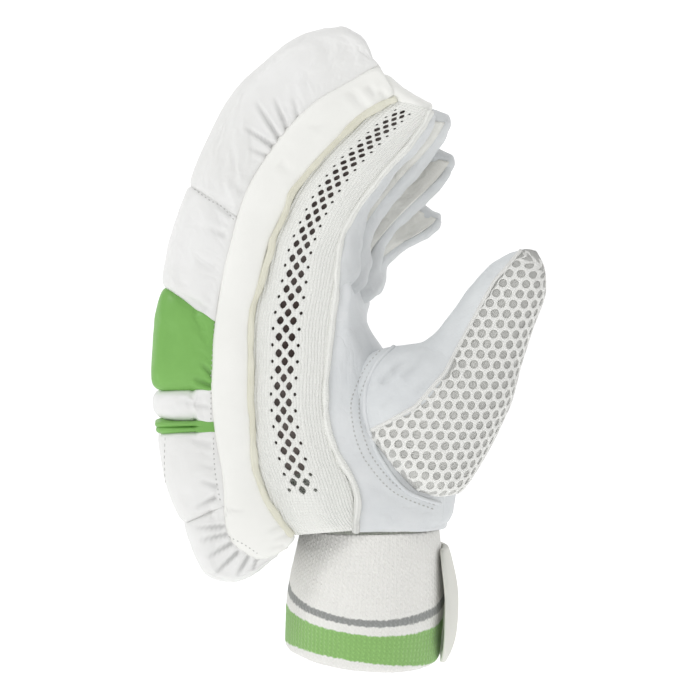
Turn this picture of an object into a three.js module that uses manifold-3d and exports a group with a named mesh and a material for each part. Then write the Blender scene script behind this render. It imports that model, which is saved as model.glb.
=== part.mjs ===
// A left-hand cricket batting glove, in millimetres, as it is worn: fingers up (+Z), palm to +X,
// thumb and index finger to -Y. The origin is the centre of the wrist opening.
import * as THREE from "three";
import Module from "manifold-3d";

const wasm = await Module();
wasm.setup();

// Driving sizes of the hand.
const GLOVE_HEIGHT = 262;
const GLOVE_DEPTH = 160;
const HAND_SPAN = 100;
const FINGER_GAP = 1.4;
const ROLL_HEIGHT = 24.8;
const WALL_DEPTH = 16;
const GUSSET_DEPTH = 32;
const FRONT_REACH = 5;
const PALM_REACH = 40;

// Thicknesses and clearances.
const SHELL_THICKNESS = 3;
const KNIT_THICKNESS = 1.6;
const LEATHER_THICKNESS = 1.5;
const LINING_THICKNESS = 0.8;
const CLEARANCE = 0.3;
const WEB_MARGIN = 4;

// The knit gusset's diamond holes.
const HOLE_LENGTH = 3.2;
const HOLE_WIDTH = 2.2;
const HOLE_PITCH = 6.4;
const TIP_HOLE_LENGTH = 2.2;
const TIP_HOLE_PITCH = 4.6;
const HOLE_COLUMNS = 3;
const HOLE_FIELD_START = 4.7;
const HOLE_FIELD_END = 16.2;
const HOLE_LINE = 0.44;
const LINING_REACH = 0.5;

// The thumb.
const THUMB_LENGTH = 110;
const THUMB_WIDTH = 40;
const THUMB_THICKNESS = 42;
const THUMB_BASE_X = 30;
const THUMB_BASE_Z = 66;
const THUMB_SIDE = -37;
const THUMB_ANGLE = 57;

// The cuff and its tab.
const CUFF_DEPTH = 66;
const CUFF_SPAN = 84;
const CUFF_TOP_DEPTH = 59;
const CUFF_TOP_SPAN = 90.4;
const CUFF_TOP_X = 3.6;
const CUFF_SHARE = 0.2023;
const CUFF_HEIGHT = CUFF_SHARE * GLOVE_HEIGHT;
const CUFF_THICKNESS = 2.6;
const CUFF_SLIT = 5;
const HEM_TILT = 5;
const CUFF_BULGE = 2.2;
const HEM_HEIGHT = 5.5;
const GREEN_STRIPE_HEIGHT = 13;
const GREY_STRIPE_GAP = 4.5;
const GREY_STRIPE_HEIGHT = 3;
const STRAP_WIDTH = 44;
const STRAP_THICKNESS = 2.8;
const STRAP_BULGE = 3.6;

// The binding cord along the seam of shell and gusset.
const BINDING_DIAMETER = 2.2;

// Colours, as sRGB hex values.
const WHITE = 0xe9e9e6;
const SHELL_WHITE = 0xefefea;
const GREEN = 0x80b862;
const CREAM = 0xdcddcf;
const KNIT = 0xe4e4e0;
const DARK = 0x2b2520;
const LEATHER = 0xdcdfe2;
const MESH_GREY = 0xc0c0be;
const TOWEL = 0xe0dfdb;
const GREY = 0x949693;
const STRAP_CREAM = 0xd2d2ca;

// Side profile of the index side, from the foot to the fingertip. Columns: seam x and z as shares of
// the glove's depth and height, roll share and angle, side wall share and angle, gusset share and
// angle, front share and angle (degrees from +X), and the share of the palm's reach.
const PROFILE = [
  [-0.191, 0.182, 0.4, 204, 0.35, 54, 0.77, 5, 0.4, -20, 0.88],
  [-0.257, 0.165, 0.25, 244, 1.02, 39, 0.81, 4, 0.4, -20, 0.9],
  [-0.303, 0.176, 0.55, 251, 1.28, 26, 0.86, 4, 0.4, -20, 0.91],
  [-0.336, 0.193, 0.71, 230, 1.39, 18, 0.93, 3, 0.5, -17, 0.94],
  [-0.354, 0.227, 0.74, 186, 1.26, 8, 1.06, 1, 0.5, -17, 0.97],
  [-0.357, 0.282, 0.97, 182, 0.97, -2, 1.17, 0, 0.6, -14, 1],
  [-0.375, 0.344, 0.98, 177, 0.99, -3, 1.01, -1, 0.66, -11, 0.91],
  [-0.387, 0.41, 1.01, 178, 0.99, -1, 0.96, -1, 0.72, 0, 0.7],
  [-0.385, 0.474, 1.02, 178, 0.97, 0, 1.01, -1, 0.9, 0, 0.49],
  [-0.38, 0.536, 1, 178, 0.92, -2, 1.06, -2, 1.06, -4, 0.4],
  [-0.362, 0.597, 1, 176, 0.98, -5, 0.98, -3, 1.32, -6, 0.34],
  [-0.339, 0.659, 1.01, 175, 1, -7, 0.9, -7, 1.48, -8, 0.3],
  [-0.313, 0.718, 0.98, 171, 1.14, -15, 0.82, -11, 1.1, -18, 0.16],
  [-0.27, 0.772, 1, 158, 1.14, -20, 0.82, -15, 0.8, -34, 0.16],
  [-0.206, 0.831, 1.08, 137, 1.15, -37, 0.85, -11, 0.8, -40, 0.16],
  [-0.114, 0.884, 1.06, 127, 1.13, -50, 0.8, -11, 0.72, -42, 0.16],
  [-0.033, 0.913, 1.03, 121, 1, -54, 0.66, -16, 0.68, -38, 0.16],
  [0.039, 0.941, 0.8, 120, 1.05, -59, 0.44, -19, 0.66, -36, 0.16],
];
const COLUMN = {
  seamX: 0,
  seamZ: 1,
  roll: 2,
  rollAngle: 3,
  wall: 4,
  wallAngle: 5,
  gusset: 6,
  gussetAngle: 7,
  front: 8,
  frontAngle: 9,
  palm: 10,
};
const TIP = PROFILE.length - 1;
const CROTCH = 10.6;
const BEND_START = 8;
const BEND_END = 11;

// Laps and seams along the hand, in stations.
const FOOT_TRIM = 0.2;
const GUSSET_FOOT = 0.5;
const TIP_TRIM = 0.05;
const SEAM_TRIM = 0.04;
const WEB_START = 0.08;
const WEB_LENGTH = 0.2;
const BINDING_FOOT = 1;

// How each finger differs from the index finger. Columns: name, back arch in mm, crease and tip as
// shares of depth and height, thickness share, how far its back lags behind its front at the tip as a
// share of the thickness, and how many stations its last roll's crown stops short.
const FINGERS = [
  ["index", 0, [-0.011, 0.632], [0.19, 0.852], 1, 0, 0],
  ["middle", 2.2, [0.01, 0.618], [0.237, 0.85], 0.97, 0.28, 0.7],
  ["ring", 1, [0.045, 0.603], [0.254, 0.793], 0.96, 0.2, 0.7],
  ["little", -2.5, [0.058, 0.597], [0.222, 0.705], 0.86, 0.2, 0.7],
].map(([name, arch, crease, tip, thickness, lag, short]) => ({
  name,
  arch,
  crease,
  tip,
  thickness,
  lag,
  short,
}));
const FINGER_COUNT = FINGERS.length;
const PITCH = HAND_SPAN / FINGER_COUNT;
const FINGER_HALF = (PITCH - FINGER_GAP) / 2;

// Narrowing of a column at the foot and at the fingertip. Columns: station, share of the half width.
const NARROWING = [
  [0, 0.8],
  [2, 0.93],
  [4, 1],
  [14, 1],
  [TIP, 0.87],
];

// Padded rolls from foot to tip. Columns: name, first and last station at the seam, first and last
// station at the crown, end height share, colour.
const ROLLS = [
  ["roll_hem", 0.3, 4.42, 1, 3.95, 0.8, WHITE],
  ["roll_wrist", 4.46, 6.3, 4, 6.18, 0.82, WHITE],
  ["roll_piping", 6.33, 6.56, 6.22, 6.46, 0.9, GREEN],
  ["roll_knuckle", 6.59, 7.3, 6.5, 7.24, 0.86, WHITE],
  ["roll_accent", 7.33, 9, 7.28, 9.85, 0.84, GREEN],
  ["roll_mid", 9.04, 11.66, 9.9, 12.26, 0.84, WHITE],
  ["roll_tip", 11.7, TIP, 12.3, TIP, 0.9, WHITE],
];

// Thumb outline along its own axis. Columns: share of the length, left and right edge as shares of
// the width, and share of the thickness.
const THUMB_OUTLINE = [
  [0.01, 0.45, 0.05, 0.55],
  [0.08, 1.02, -0.15, 0.8],
  [0.2, 1.34, -0.17, 0.95],
  [0.32, 1.4, -0.15, 1],
  [0.4, 1.26, -0.12, 0.95],
  [0.48, 1, -0.08, 0.85],
  [0.6, 0.93, 0.03, 0.74],
  [0.75, 0.9, 0.14, 0.68],
  [0.88, 0.84, 0.22, 0.6],
  [0.95, 0.74, 0.34, 0.46],
  [0.995, 0.6, 0.48, 0.2],
];
// Seam of thumb leather and thumb mesh: share of the length, share of the width.
const THUMB_SEAM = [
  [-0.1, 1.6],
  [0.1, 0.96],
  [0.26, 0.73],
  [0.43, 0.66],
  [0.6, 0.7],
  [0.81, 0.74],
  [1.1, 0.62],
];

const degrees = THREE.MathUtils.degToRad;

const { lerp, clamp, smoothstep, mapLinear } = THREE.MathUtils;

// The two whole stations beside a station, and how far it lies between them.
function bracket(station) {
  const low = Math.min(Math.floor(clamp(station, 0, TIP)), TIP - 1);
  return { low, high: low + 1, share: clamp(station, 0, TIP) - low };
}

function mixPairs(a, b, share) {
  return [lerp(a[0], b[0], share), lerp(a[1], b[1], share)];
}

function step(origin, length, angle) {
  const a = degrees(angle);
  return [origin[0] + length * Math.cos(a), origin[1] + length * Math.sin(a)];
}

// The five side points of the index column at a whole station: roll crown, seam, wall end, gusset
// end and front.
function indexPoints(station) {
  const of = (name) => PROFILE[station][COLUMN[name]];
  const seam = [of("seamX") * GLOVE_DEPTH, of("seamZ") * GLOVE_HEIGHT];
  const crown = step(seam, of("roll") * ROLL_HEIGHT, of("rollAngle"));
  const wall = step(seam, of("wall") * WALL_DEPTH, of("wallAngle"));
  const gusset = step(wall, of("gusset") * GUSSET_DEPTH, of("gussetAngle"));
  const front = step(gusset, of("front") * FRONT_REACH, of("frontAngle"));
  return { crown, seam, wall, gusset, front };
}

function inGlove([x, z]) {
  return [x * GLOVE_DEPTH, z * GLOVE_HEIGHT];
}

// Moves an index point onto another finger: turned and scaled from crease to crease, tip to tip.
function ontoFinger(point, finger, station) {
  const blend = smoothstep(station, BEND_START, BEND_END);
  if (finger === FINGERS[0] || blend === 0) return point;
  const [creaseA, tipA] = [inGlove(FINGERS[0].crease), inGlove(FINGERS[0].tip)];
  const [creaseB, tipB] = [inGlove(finger.crease), inGlove(finger.tip)];
  const axisA = [tipA[0] - creaseA[0], tipA[1] - creaseA[1]];
  const axisB = [tipB[0] - creaseB[0], tipB[1] - creaseB[1]];
  const lengthA = Math.hypot(...axisA);
  const lengthB = Math.hypot(...axisB);
  const relative = [point[0] - creaseA[0], point[1] - creaseA[1]];
  const along = (relative[0] * axisA[0] + relative[1] * axisA[1]) / lengthA;
  const across = (relative[1] * axisA[0] - relative[0] * axisA[1]) / lengthA;
  const v = (across * finger.thickness) / lengthB;
  const u = along / lengthA - finger.lag * v * smoothstep(station, BEND_END, TIP);
  const moved = [
    creaseB[0] + u * axisB[0] - v * axisB[1],
    creaseB[1] + u * axisB[1] + v * axisB[0],
  ];
  return mixPairs(point, moved, blend);
}

// All side points of one finger's column at a whole station.
function stationPoints(finger, station) {
  const points = indexPoints(station);
  const [crown, seam] = [points.crown, points.seam];
  const lift = finger.arch / Math.hypot(crown[0] - seam[0], crown[1] - seam[1]);
  const raise = (p) => [p[0] + (crown[0] - seam[0]) * lift, p[1] + (crown[1] - seam[1]) * lift];
  points.crown = raise(crown);
  points.seam = raise(seam);
  const moved = {};
  for (const name of Object.keys(points)) moved[name] = ontoFinger(points[name], finger, station);
  return moved;
}

// The same points at any station, on the straight lines between the whole stations beside it.
function columnPoints(finger, station) {
  const { low, high, share } = bracket(station);
  const [a, b] = [stationPoints(finger, low), stationPoints(finger, high)];
  const points = {};
  for (const name of Object.keys(a)) points[name] = mixPairs(a[name], b[name], share);
  return points;
}

function centreOf(finger) {
  return (FINGERS.indexOf(finger) + 0.5) * PITCH - HAND_SPAN / 2;
}

function narrowing(station) {
  const next = NARROWING.findIndex((row) => row[0] >= station);
  if (next <= 0) return NARROWING[0][1];
  const [[s0, w0], [s1, w1]] = [NARROWING[next - 1], NARROWING[next]];
  return mapLinear(station, s0, s1, w0, w1);
}

// Y of a finger's side: side is -1 towards the index side and +1 towards the little side. In the hand
// the outer sides stay in line with the foot's narrowing.
function sideY(finger, station, side) {
  return centreOf(finger) + side * FINGER_HALF * narrowing(station);
}

const at = ([x, z], y) => new THREE.Vector3(x, y, z);

function toward(from, to, distance) {
  const d = to.clone().sub(from);
  return from.clone().addScaledVector(d, distance / d.length());
}

function meshGeometry(vertices, triangles) {
  let volume = 0;
  for (const [a, b, c] of triangles) {
    const normal = vertices[b].clone().cross(vertices[c]);
    volume += vertices[a].dot(normal);
  }
  const turned = volume < 0 ? triangles.map(([a, b, c]) => [a, c, b]) : triangles;
  const geometry = new THREE.BufferGeometry();
  const places = vertices.flatMap((v) => v.toArray());
  geometry.setAttribute("position", new THREE.Float32BufferAttribute(places, 3));
  geometry.setIndex(turned.flat());
  return geometry;
}

// A closed wall between two grids of points, outer[i][j] and inner[i][j].
function wallGeometry(outer, inner) {
  const rows = outer.length;
  const columns = outer[0].length;
  const vertices = [...outer.flat(), ...inner.flat()];
  const o = (i, j) => i * columns + j;
  const n = (i, j) => rows * columns + i * columns + j;
  const triangles = [];
  const quad = (a, b, c, d) => triangles.push([a, b, c], [a, c, d]);
  for (let i = 0; i + 1 < rows; i++) {
    for (let j = 0; j + 1 < columns; j++) {
      quad(o(i, j), o(i + 1, j), o(i + 1, j + 1), o(i, j + 1));
      quad(n(i, j), n(i, j + 1), n(i + 1, j + 1), n(i + 1, j));
    }
    quad(o(i, 0), n(i, 0), n(i + 1, 0), o(i + 1, 0));
    quad(o(i, columns - 1), o(i + 1, columns - 1), n(i + 1, columns - 1), n(i, columns - 1));
  }
  for (let j = 0; j + 1 < columns; j++) {
    quad(o(0, j), o(0, j + 1), n(0, j + 1), n(0, j));
    quad(o(rows - 1, j), n(rows - 1, j), n(rows - 1, j + 1), o(rows - 1, j + 1));
  }
  return meshGeometry(vertices, triangles);
}

// A closed loft through rings of equal length, with a fan at each end.
function loftGeometry(rings) {
  const size = rings[0].length;
  const vertices = rings.flat();
  const triangles = [];
  const id = (i, j) => i * size + (j % size);
  for (let i = 0; i + 1 < rings.length; i++) {
    for (let j = 0; j < size; j++) {
      triangles.push([id(i, j), id(i + 1, j), id(i + 1, j + 1)], [id(i, j), id(i + 1, j + 1), id(i, j + 1)]);
    }
  }
  for (const [i, turn] of [
    [0, false],
    [rings.length - 1, true],
  ]) {
    const centre = rings[i].reduce((sum, p) => sum.add(p), new THREE.Vector3()).divideScalar(size);
    const c = vertices.push(centre) - 1;
    for (let j = 0; j < size; j++) {
      triangles.push(turn ? [c, id(i, j + 1), id(i, j)] : [c, id(i, j), id(i, j + 1)]);
    }
  }
  return meshGeometry(vertices, triangles);
}

function toSolid(geometry) {
  return new wasm.Manifold(
    new wasm.Mesh({
      numProp: 3,
      vertProperties: new Float32Array(geometry.attributes.position.array),
      triVerts: new Uint32Array(geometry.index.array),
    }),
  );
}

function fromSolid(solid) {
  const mesh = solid.getMesh();
  const geometry = new THREE.BufferGeometry();
  geometry.setAttribute("position", new THREE.BufferAttribute(mesh.vertProperties, mesh.numProp));
  geometry.setIndex(new THREE.BufferAttribute(mesh.triVerts, 1));
  return geometry;
}

function join(geometries) {
  return geometries.map(toSolid).reduce((sum, solid) => sum.add(solid));
}

// The first and last station and the profile's own stations between them.
function stations(first, last) {
  const between = PROFILE.map((_, i) => i).filter((i) => i > first && i < last);
  return [first, ...between, last];
}

const root = new THREE.Group();

function add(name, geometry, color, roughness) {
  const material = new THREE.MeshStandardMaterial({ color, roughness, metalness: 0 });
  const mesh = new THREE.Mesh(geometry, material);
  mesh.name = name;
  root.add(mesh);
  return mesh;
}

// Padded rolls

// One ring of a roll: flat foot on the seam line, upright sides and a rounded crown.
const ROLL_SECTION = [
  [-0.98, 0],
  [-1, 0.45],
  [-0.84, 0.8],
  [-0.5, 0.96],
  [0, 1],
  [0.5, 0.96],
  [0.84, 0.8],
  [1, 0.45],
  [0.98, 0],
];
// How full a roll is near its ends. Columns: share of the roll's length, share of the full height.
const ROLL_ENDS = [
  [0, 0],
  [0.1, 0.55],
  [0.3, 1],
];

function rollRing(finger, seamStation, crownStation, share) {
  const foot = columnPoints(finger, seamStation).seam;
  const crown = columnPoints(finger, crownStation).crown;
  const height = Math.hypot(crown[0] - foot[0], crown[1] - foot[1]);
  const up = [(crown[0] - foot[0]) / height, (crown[1] - foot[1]) / height];
  const half = FINGER_HALF * narrowing(seamStation) - CLEARANCE;
  return ROLL_SECTION.map(([across, lift]) => {
    const rise = CLEARANCE + lift * Math.max(height * share - CLEARANCE, 1);
    return at([foot[0] + up[0] * rise, foot[1] + up[1] * rise], centreOf(finger) + across * half);
  });
}

function fullness(share) {
  const t = Math.min(share, 1 - share);
  const next = ROLL_ENDS.findIndex((row) => row[0] >= t);
  if (next < 0) return 1;
  if (next === 0) return ROLL_ENDS[0][1];
  const [[t0, f0], [t1, f1]] = [ROLL_ENDS[next - 1], ROLL_ENDS[next]];
  return mapLinear(t, t0, t1, f0, f1);
}

function rollGeometry(finger, [, seam0, seam1, crown0, crownEnd, endShare]) {
  const crown1 = crownEnd === TIP ? TIP - finger.short : crownEnd;
  const ends = ROLL_ENDS.flatMap(([t]) => [t, 1 - t]).map((t) => lerp(seam0, seam1, t));
  const inside = stations(seam0, seam1).filter((s) => ends.every((e) => Math.abs(e - s) > 0.1));
  const rings = [...ends, ...inside]
    .sort((a, b) => a - b)
    .map((seam) => {
      const share = (seam - seam0) / (seam1 - seam0);
      return rollRing(finger, seam, lerp(crown0, crown1, share), lerp(endShare, 1, fullness(share)));
    });
  return loftGeometry(rings);
}

for (const finger of FINGERS) {
  for (const row of ROLLS) {
    add(`${finger.name}_${row[0]}`, rollGeometry(finger, row), row[6], 0.75);
  }
}

// Back shell

// Whether a side of a finger carries one of the shell's two side bands.
function isOuterSide(finger, side) {
  return finger === FINGERS[side < 0 ? 0 : FINGER_COUNT - 1];
}

// How far the plate stays in from a side of a finger, so that it is clear of the side band.
function plateInset(finger, side) {
  return isOuterSide(finger, side) ? SHELL_THICKNESS + CLEARANCE : 0;
}

// The plate under the rolls, from the near side of one finger to the far side of another.
function backPlate(first, last, from, to) {
  const fingers = FINGERS.slice(FINGERS.indexOf(first), FINGERS.indexOf(last) + 1);
  const outer = [];
  const inner = [];
  for (const station of stations(from, to)) {
    const top = [];
    const low = [];
    for (const finger of fingers) {
      const points = columnPoints(finger, station);
      for (const side of [-1, 1]) {
        const y = sideY(finger, station, side) - side * plateInset(finger, side);
        const seam = at(points.seam, y);
        top.push(seam);
        low.push(toward(seam, at(points.wall, y), SHELL_THICKNESS));
      }
    }
    outer.push(top);
    inner.push(low);
  }
  return wallGeometry(outer, inner);
}

// The padded band down an outer side, from the rolls' seam to the knit wall.
function sideBand(finger, side) {
  const outer = [];
  const inner = [];
  for (const station of stations(0, TIP)) {
    const points = columnPoints(finger, station);
    const y = sideY(finger, station, side);
    const seam = at(points.seam, y);
    const row = [seam, toward(at(points.wall, y), seam, CLEARANCE / 2)];
    outer.push(row);
    inner.push(row.map((p) => p.clone().setY(y - side * SHELL_THICKNESS)));
  }
  return wallGeometry(outer, inner);
}

// Unit direction out of a fingertip, square to the line from its seam to its front.
function tipDirection(points) {
  const edge = at(points.front, 0).sub(at(points.seam, 0)).normalize();
  return new THREE.Vector3(-edge.z, 0, edge.x);
}

// Rounded cap over the end of a finger, as long as the shell is thick.
function fingertip(finger) {
  const points = columnPoints(finger, TIP);
  const [near, far] = [sideY(finger, TIP, -1), sideY(finger, TIP, 1)];
  const middle = centreOf(finger);
  const ring = [
    at(points.seam, near),
    at(points.wall, near),
    at(points.gusset, near),
    at(points.front, middle),
    at(points.gusset, far),
    at(points.wall, far),
    at(points.seam, far),
  ];
  const ahead = tipDirection(points);
  const centre = at(points.seam, middle).lerp(at(points.front, middle), 0.5);
  const grown = (share, reach) =>
    ring.map((p) => p.clone().sub(centre).multiplyScalar(share).add(centre).addScaledVector(ahead, reach));
  const start = CLEARANCE;
  return loftGeometry([
    grown(1, start),
    grown(0.95, start + SHELL_THICKNESS / 2),
    grown(0.75, start + SHELL_THICKNESS),
  ]);
}

// A short block that carries the fingertip on the end of the shell.
function fingertipRoot(finger) {
  const points = columnPoints(finger, TIP);
  const ahead = tipDirection(points);
  const rim = (set) => {
    const clear = SHELL_THICKNESS + 2 * CLEARANCE;
    const [near, far] = [sideY(finger, TIP, -1) + clear, sideY(finger, TIP, 1) - clear];
    const low = toward(at(set.seam, near), at(set.wall, near), SHELL_THICKNESS);
    const lowFar = toward(at(set.seam, far), at(set.wall, far), SHELL_THICKNESS);
    return [at(set.seam, near), low, lowFar, at(set.seam, far)];
  };
  const base = rim(points);
  return loftGeometry([
    base.map((p) => p.clone().addScaledVector(ahead, -SHELL_THICKNESS)),
    base.map((p) => p.clone().addScaledVector(ahead, SHELL_THICKNESS)),
  ]);
}

add("back_shell", backPlate(FINGERS[0], FINGERS[FINGER_COUNT - 1], 0, CROTCH), SHELL_WHITE, 0.8);
for (const finger of FINGERS) {
  const plate = backPlate(finger, finger, CROTCH + SEAM_TRIM, TIP);
  const shell = join([plate, fingertip(finger), fingertipRoot(finger)]);
  add(`${finger.name}_shell`, fromSolid(shell), SHELL_WHITE, 0.8);
}
add("index_side_band", sideBand(FINGERS[0], -1), SHELL_WHITE, 0.8);
add("little_side_band", sideBand(FINGERS[FINGER_COUNT - 1], 1), SHELL_WHITE, 0.8);

// Side walls of knit and their lining

// A side wall between the shell's edge and the leather, on one side of a finger. A wall between two
// fingers starts higher, under the plate.
function sideWall(finger, side, from, to, thickness, inset = 0, margin = CLEARANCE / 2) {
  const outer = [];
  const inner = [];
  for (const station of stations(from, to)) {
    const points = columnPoints(finger, station);
    const y = sideY(finger, station, side) - side * inset;
    const wall = at(points.wall, y);
    const end = at(points.gusset, y);
    const underPlate = toward(at(points.seam, y), wall, SHELL_THICKNESS + CLEARANCE);
    const start = isOuterSide(finger, side) ? [toward(wall, end, margin)] : [underPlate, wall];
    const row = [...start, wall.clone().lerp(end, 0.5), toward(end, wall, margin)];
    outer.push(row);
    inner.push(row.map((p) => p.clone().setY(y - side * thickness)));
  }
  return wallGeometry(outer, inner);
}

// A diamond prism through the near wall. Along and across are unit directions in the wall.
function holeCutter(centre, along, length, width) {
  const across = new THREE.Vector3(-along.z, 0, along.x);
  const corners = [
    centre.clone().addScaledVector(along, length / 2),
    centre.clone().addScaledVector(across, width / 2),
    centre.clone().addScaledVector(along, -length / 2),
    centre.clone().addScaledVector(across, -width / 2),
  ];
  const reach = 2 * KNIT_THICKNESS;
  return loftGeometry([
    corners.map((p) => p.clone().add(new THREE.Vector3(0, -reach, 0))),
    corners.map((p) => p.clone().add(new THREE.Vector3(0, reach, 0))),
  ]);
}

// How far ahead, in stations, the direction and pace along the gusset are taken.
const HOLE_PROBE = 0.1;

// Holes stand in staggered columns that follow the gusset's middle line up to the fingertip.
function gussetHoles() {
  const finger = FINGERS[0];
  const holes = [];
  let station = HOLE_FIELD_START;
  let row = 0;
  while (station < HOLE_FIELD_END) {
    const share = smoothstep(station, BEND_START, TIP);
    const pitch = lerp(HOLE_PITCH, TIP_HOLE_PITCH, share) / 2;
    const length = lerp(HOLE_LENGTH, TIP_HOLE_LENGTH, share);
    const width = HOLE_WIDTH * (length / HOLE_LENGTH);
    const points = columnPoints(finger, station);
    const later = columnPoints(finger, station + HOLE_PROBE);
    const middle = (p) => at(p.wall, 0).lerp(at(p.gusset, 0), HOLE_LINE);
    const along = toward(middle(points), middle(later), 1).sub(middle(points));
    const across = toward(at(points.wall, 0), at(points.gusset, 0), 1).sub(at(points.wall, 0));
    const spacing = width + (HOLE_LENGTH - HOLE_WIDTH) / 2;
    for (let k = 0; k < HOLE_COLUMNS; k++) {
      if ((k + row) % 2) continue;
      const shift = (k - (HOLE_COLUMNS - 1) / 2) * spacing;
      const centre = middle(points).addScaledVector(across, shift);
      holes.push(holeCutter(centre.setY(sideY(finger, station, -1)), along, length, width));
    }
    station += (pitch / middle(points).distanceTo(middle(later))) * HOLE_PROBE;
    row += 1;
  }
  return holes;
}

const INDEX = FINGERS[0];
const LITTLE = FINGERS[FINGER_COUNT - 1];
const holes = gussetHoles();
let indexGusset = toSolid(sideWall(INDEX, -1, GUSSET_FOOT, TIP - TIP_TRIM, KNIT_THICKNESS));
for (const hole of holes) indexGusset = indexGusset.subtract(toSolid(hole));
add("index_gusset", fromSolid(indexGusset), KNIT, 0.9);
add("little_gusset", sideWall(LITTLE, 1, GUSSET_FOOT, TIP - TIP_TRIM, KNIT_THICKNESS), KNIT, 0.9);

const liningInset = KNIT_THICKNESS + CLEARANCE;
const liningMargin = SHELL_THICKNESS + CLEARANCE;
const liningFrom = HOLE_FIELD_START - LINING_REACH;
const liningTo = HOLE_FIELD_END + LINING_REACH;
const lining = sideWall(INDEX, -1, liningFrom, liningTo, LINING_THICKNESS, liningInset, liningMargin);
add("gusset_lining", lining, DARK, 0.95);

// Knit between two neighbouring fingers: a wall on each, joined at the crotch.
function fourchette(index) {
  const [a, b] = [FINGERS[index], FINGERS[index + 1]];
  const start = CROTCH + WEB_START;
  const web = stations(start, start + WEB_LENGTH).map((station) => {
    const [p, q] = [columnPoints(a, station), columnPoints(b, station)];
    const [y0, y1] = [sideY(a, station, 1) - KNIT_THICKNESS, sideY(b, station, -1) + KNIT_THICKNESS];
    const inset = (from, to) => toward(from, to, WEB_MARGIN);
    return [
      inset(at(p.wall, y0), at(p.gusset, y0)),
      inset(at(p.gusset, y0), at(p.wall, y0)),
      inset(at(q.gusset, y1), at(q.wall, y1)),
      inset(at(q.wall, y1), at(q.gusset, y1)),
    ];
  });
  return join([
    sideWall(a, 1, start, TIP - TIP_TRIM, KNIT_THICKNESS),
    sideWall(b, -1, start, TIP - TIP_TRIM, KNIT_THICKNESS),
    loftGeometry(web),
  ]);
}

for (let k = 0; k + 1 < FINGER_COUNT; k++) {
  add(`fourchette_${FINGERS[k].name}`, fromSolid(fourchette(k)), KNIT, 0.9);
}

// Palm and finger fronts of leather

// Y of the palm's points as shares of the half span, and how much of the reach each one has.
const PALM_SECTION = [
  [-0.98, 0.22],
  [-0.9, 0.5],
  [-0.75, 0.78],
  [-0.5, 0.96],
  [-0.2, 1],
  [0.2, 0.98],
  [0.5, 0.92],
  [0.75, 0.76],
  [0.9, 0.48],
  [0.98, 0.2],
];

// Outer points round the palm at a station, from the near gusset's end to the far gusset's end.
function palmLine(station) {
  const near = columnPoints(INDEX, station);
  const far = columnPoints(LITTLE, station);
  const { low: before, high: after, share: past } = bracket(station);
  const apex = lerp(PROFILE[before][COLUMN.palm], PROFILE[after][COLUMN.palm], past) * PALM_REACH;
  const blend = smoothstep(station, BEND_START - 1, CROTCH);
  const line = [at(near.gusset, sideY(INDEX, station, -1))];
  for (const [across, share] of PALM_SECTION) {
    const y = (across * (HAND_SPAN - FINGER_GAP) * narrowing(station)) / 2;
    const side = (across + 1) / 2;
    const edge = [0, 1].map((k) => lerp(near.gusset[k], far.gusset[k], side));
    const slot = clamp((y + HAND_SPAN / 2) / PITCH - 0.5, 0, FINGER_COUNT - 1);
    const low = Math.floor(Math.min(slot, FINGER_COUNT - 2));
    const [p, q] = [FINGERS[low], FINGERS[low + 1]].map((f) => columnPoints(f, station).front);
    const front = [0, 1].map((k) => lerp(p[k], q[k], slot - low));
    const x = lerp(edge[0] + (apex - edge[0]) * share, front[0], blend);
    const z = lerp(edge[1] - (apex - edge[0]) * share * 0.03, front[1], blend);
    line.push(at([x, z], y));
  }
  line.push(at(far.gusset, sideY(LITTLE, station, 1)));
  return line;
}

// Points set in by a distance, within the plane of a row; the ends move straight inwards in Y.
function insetRow(row, distance) {
  return row.map((p, j) => {
    if (j === 0) return p.clone().add(new THREE.Vector3(0, distance, 0));
    if (j === row.length - 1) return p.clone().add(new THREE.Vector3(0, -distance, 0));
    const tangent = row[j + 1].clone().sub(row[j - 1]);
    const normal = new THREE.Vector3(tangent.y, -tangent.x, 0).normalize();
    return p.clone().addScaledVector(normal, -distance);
  });
}

function trimmedRow(row) {
  const trimmed = row.slice();
  trimmed[0] = toward(row[0], row[1], CLEARANCE / 2);
  trimmed[row.length - 1] = toward(row[row.length - 1], row[row.length - 2], CLEARANCE / 2);
  return trimmed;
}

// The closed outline of the hand at a station, grown outwards by a distance.
function handRing(station, growth) {
  const near = columnPoints(INDEX, station);
  const far = columnPoints(LITTLE, station);
  const palm = insetRow(palmLine(station), -growth);
  const nearY = sideY(INDEX, station, -1) - growth;
  const farY = sideY(LITTLE, station, 1) + growth;
  return [at(near.seam, nearY), at(near.wall, nearY), ...palm, at(far.wall, farY), at(far.seam, farY)];
}

// The thumb

const thumbAxis = new THREE.Vector3(Math.cos(degrees(THUMB_ANGLE)), 0, Math.sin(degrees(THUMB_ANGLE)));
const thumbLeft = new THREE.Vector3(-thumbAxis.z, 0, thumbAxis.x);
const thumbBase = new THREE.Vector3(THUMB_BASE_X, THUMB_SIDE, THUMB_BASE_Z);
const THUMB_SIDES = 20;

function thumbPoint(alongShare, leftShare) {
  return thumbBase
    .clone()
    .addScaledVector(thumbAxis, alongShare * THUMB_LENGTH)
    .addScaledVector(thumbLeft, leftShare * THUMB_WIDTH);
}

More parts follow.
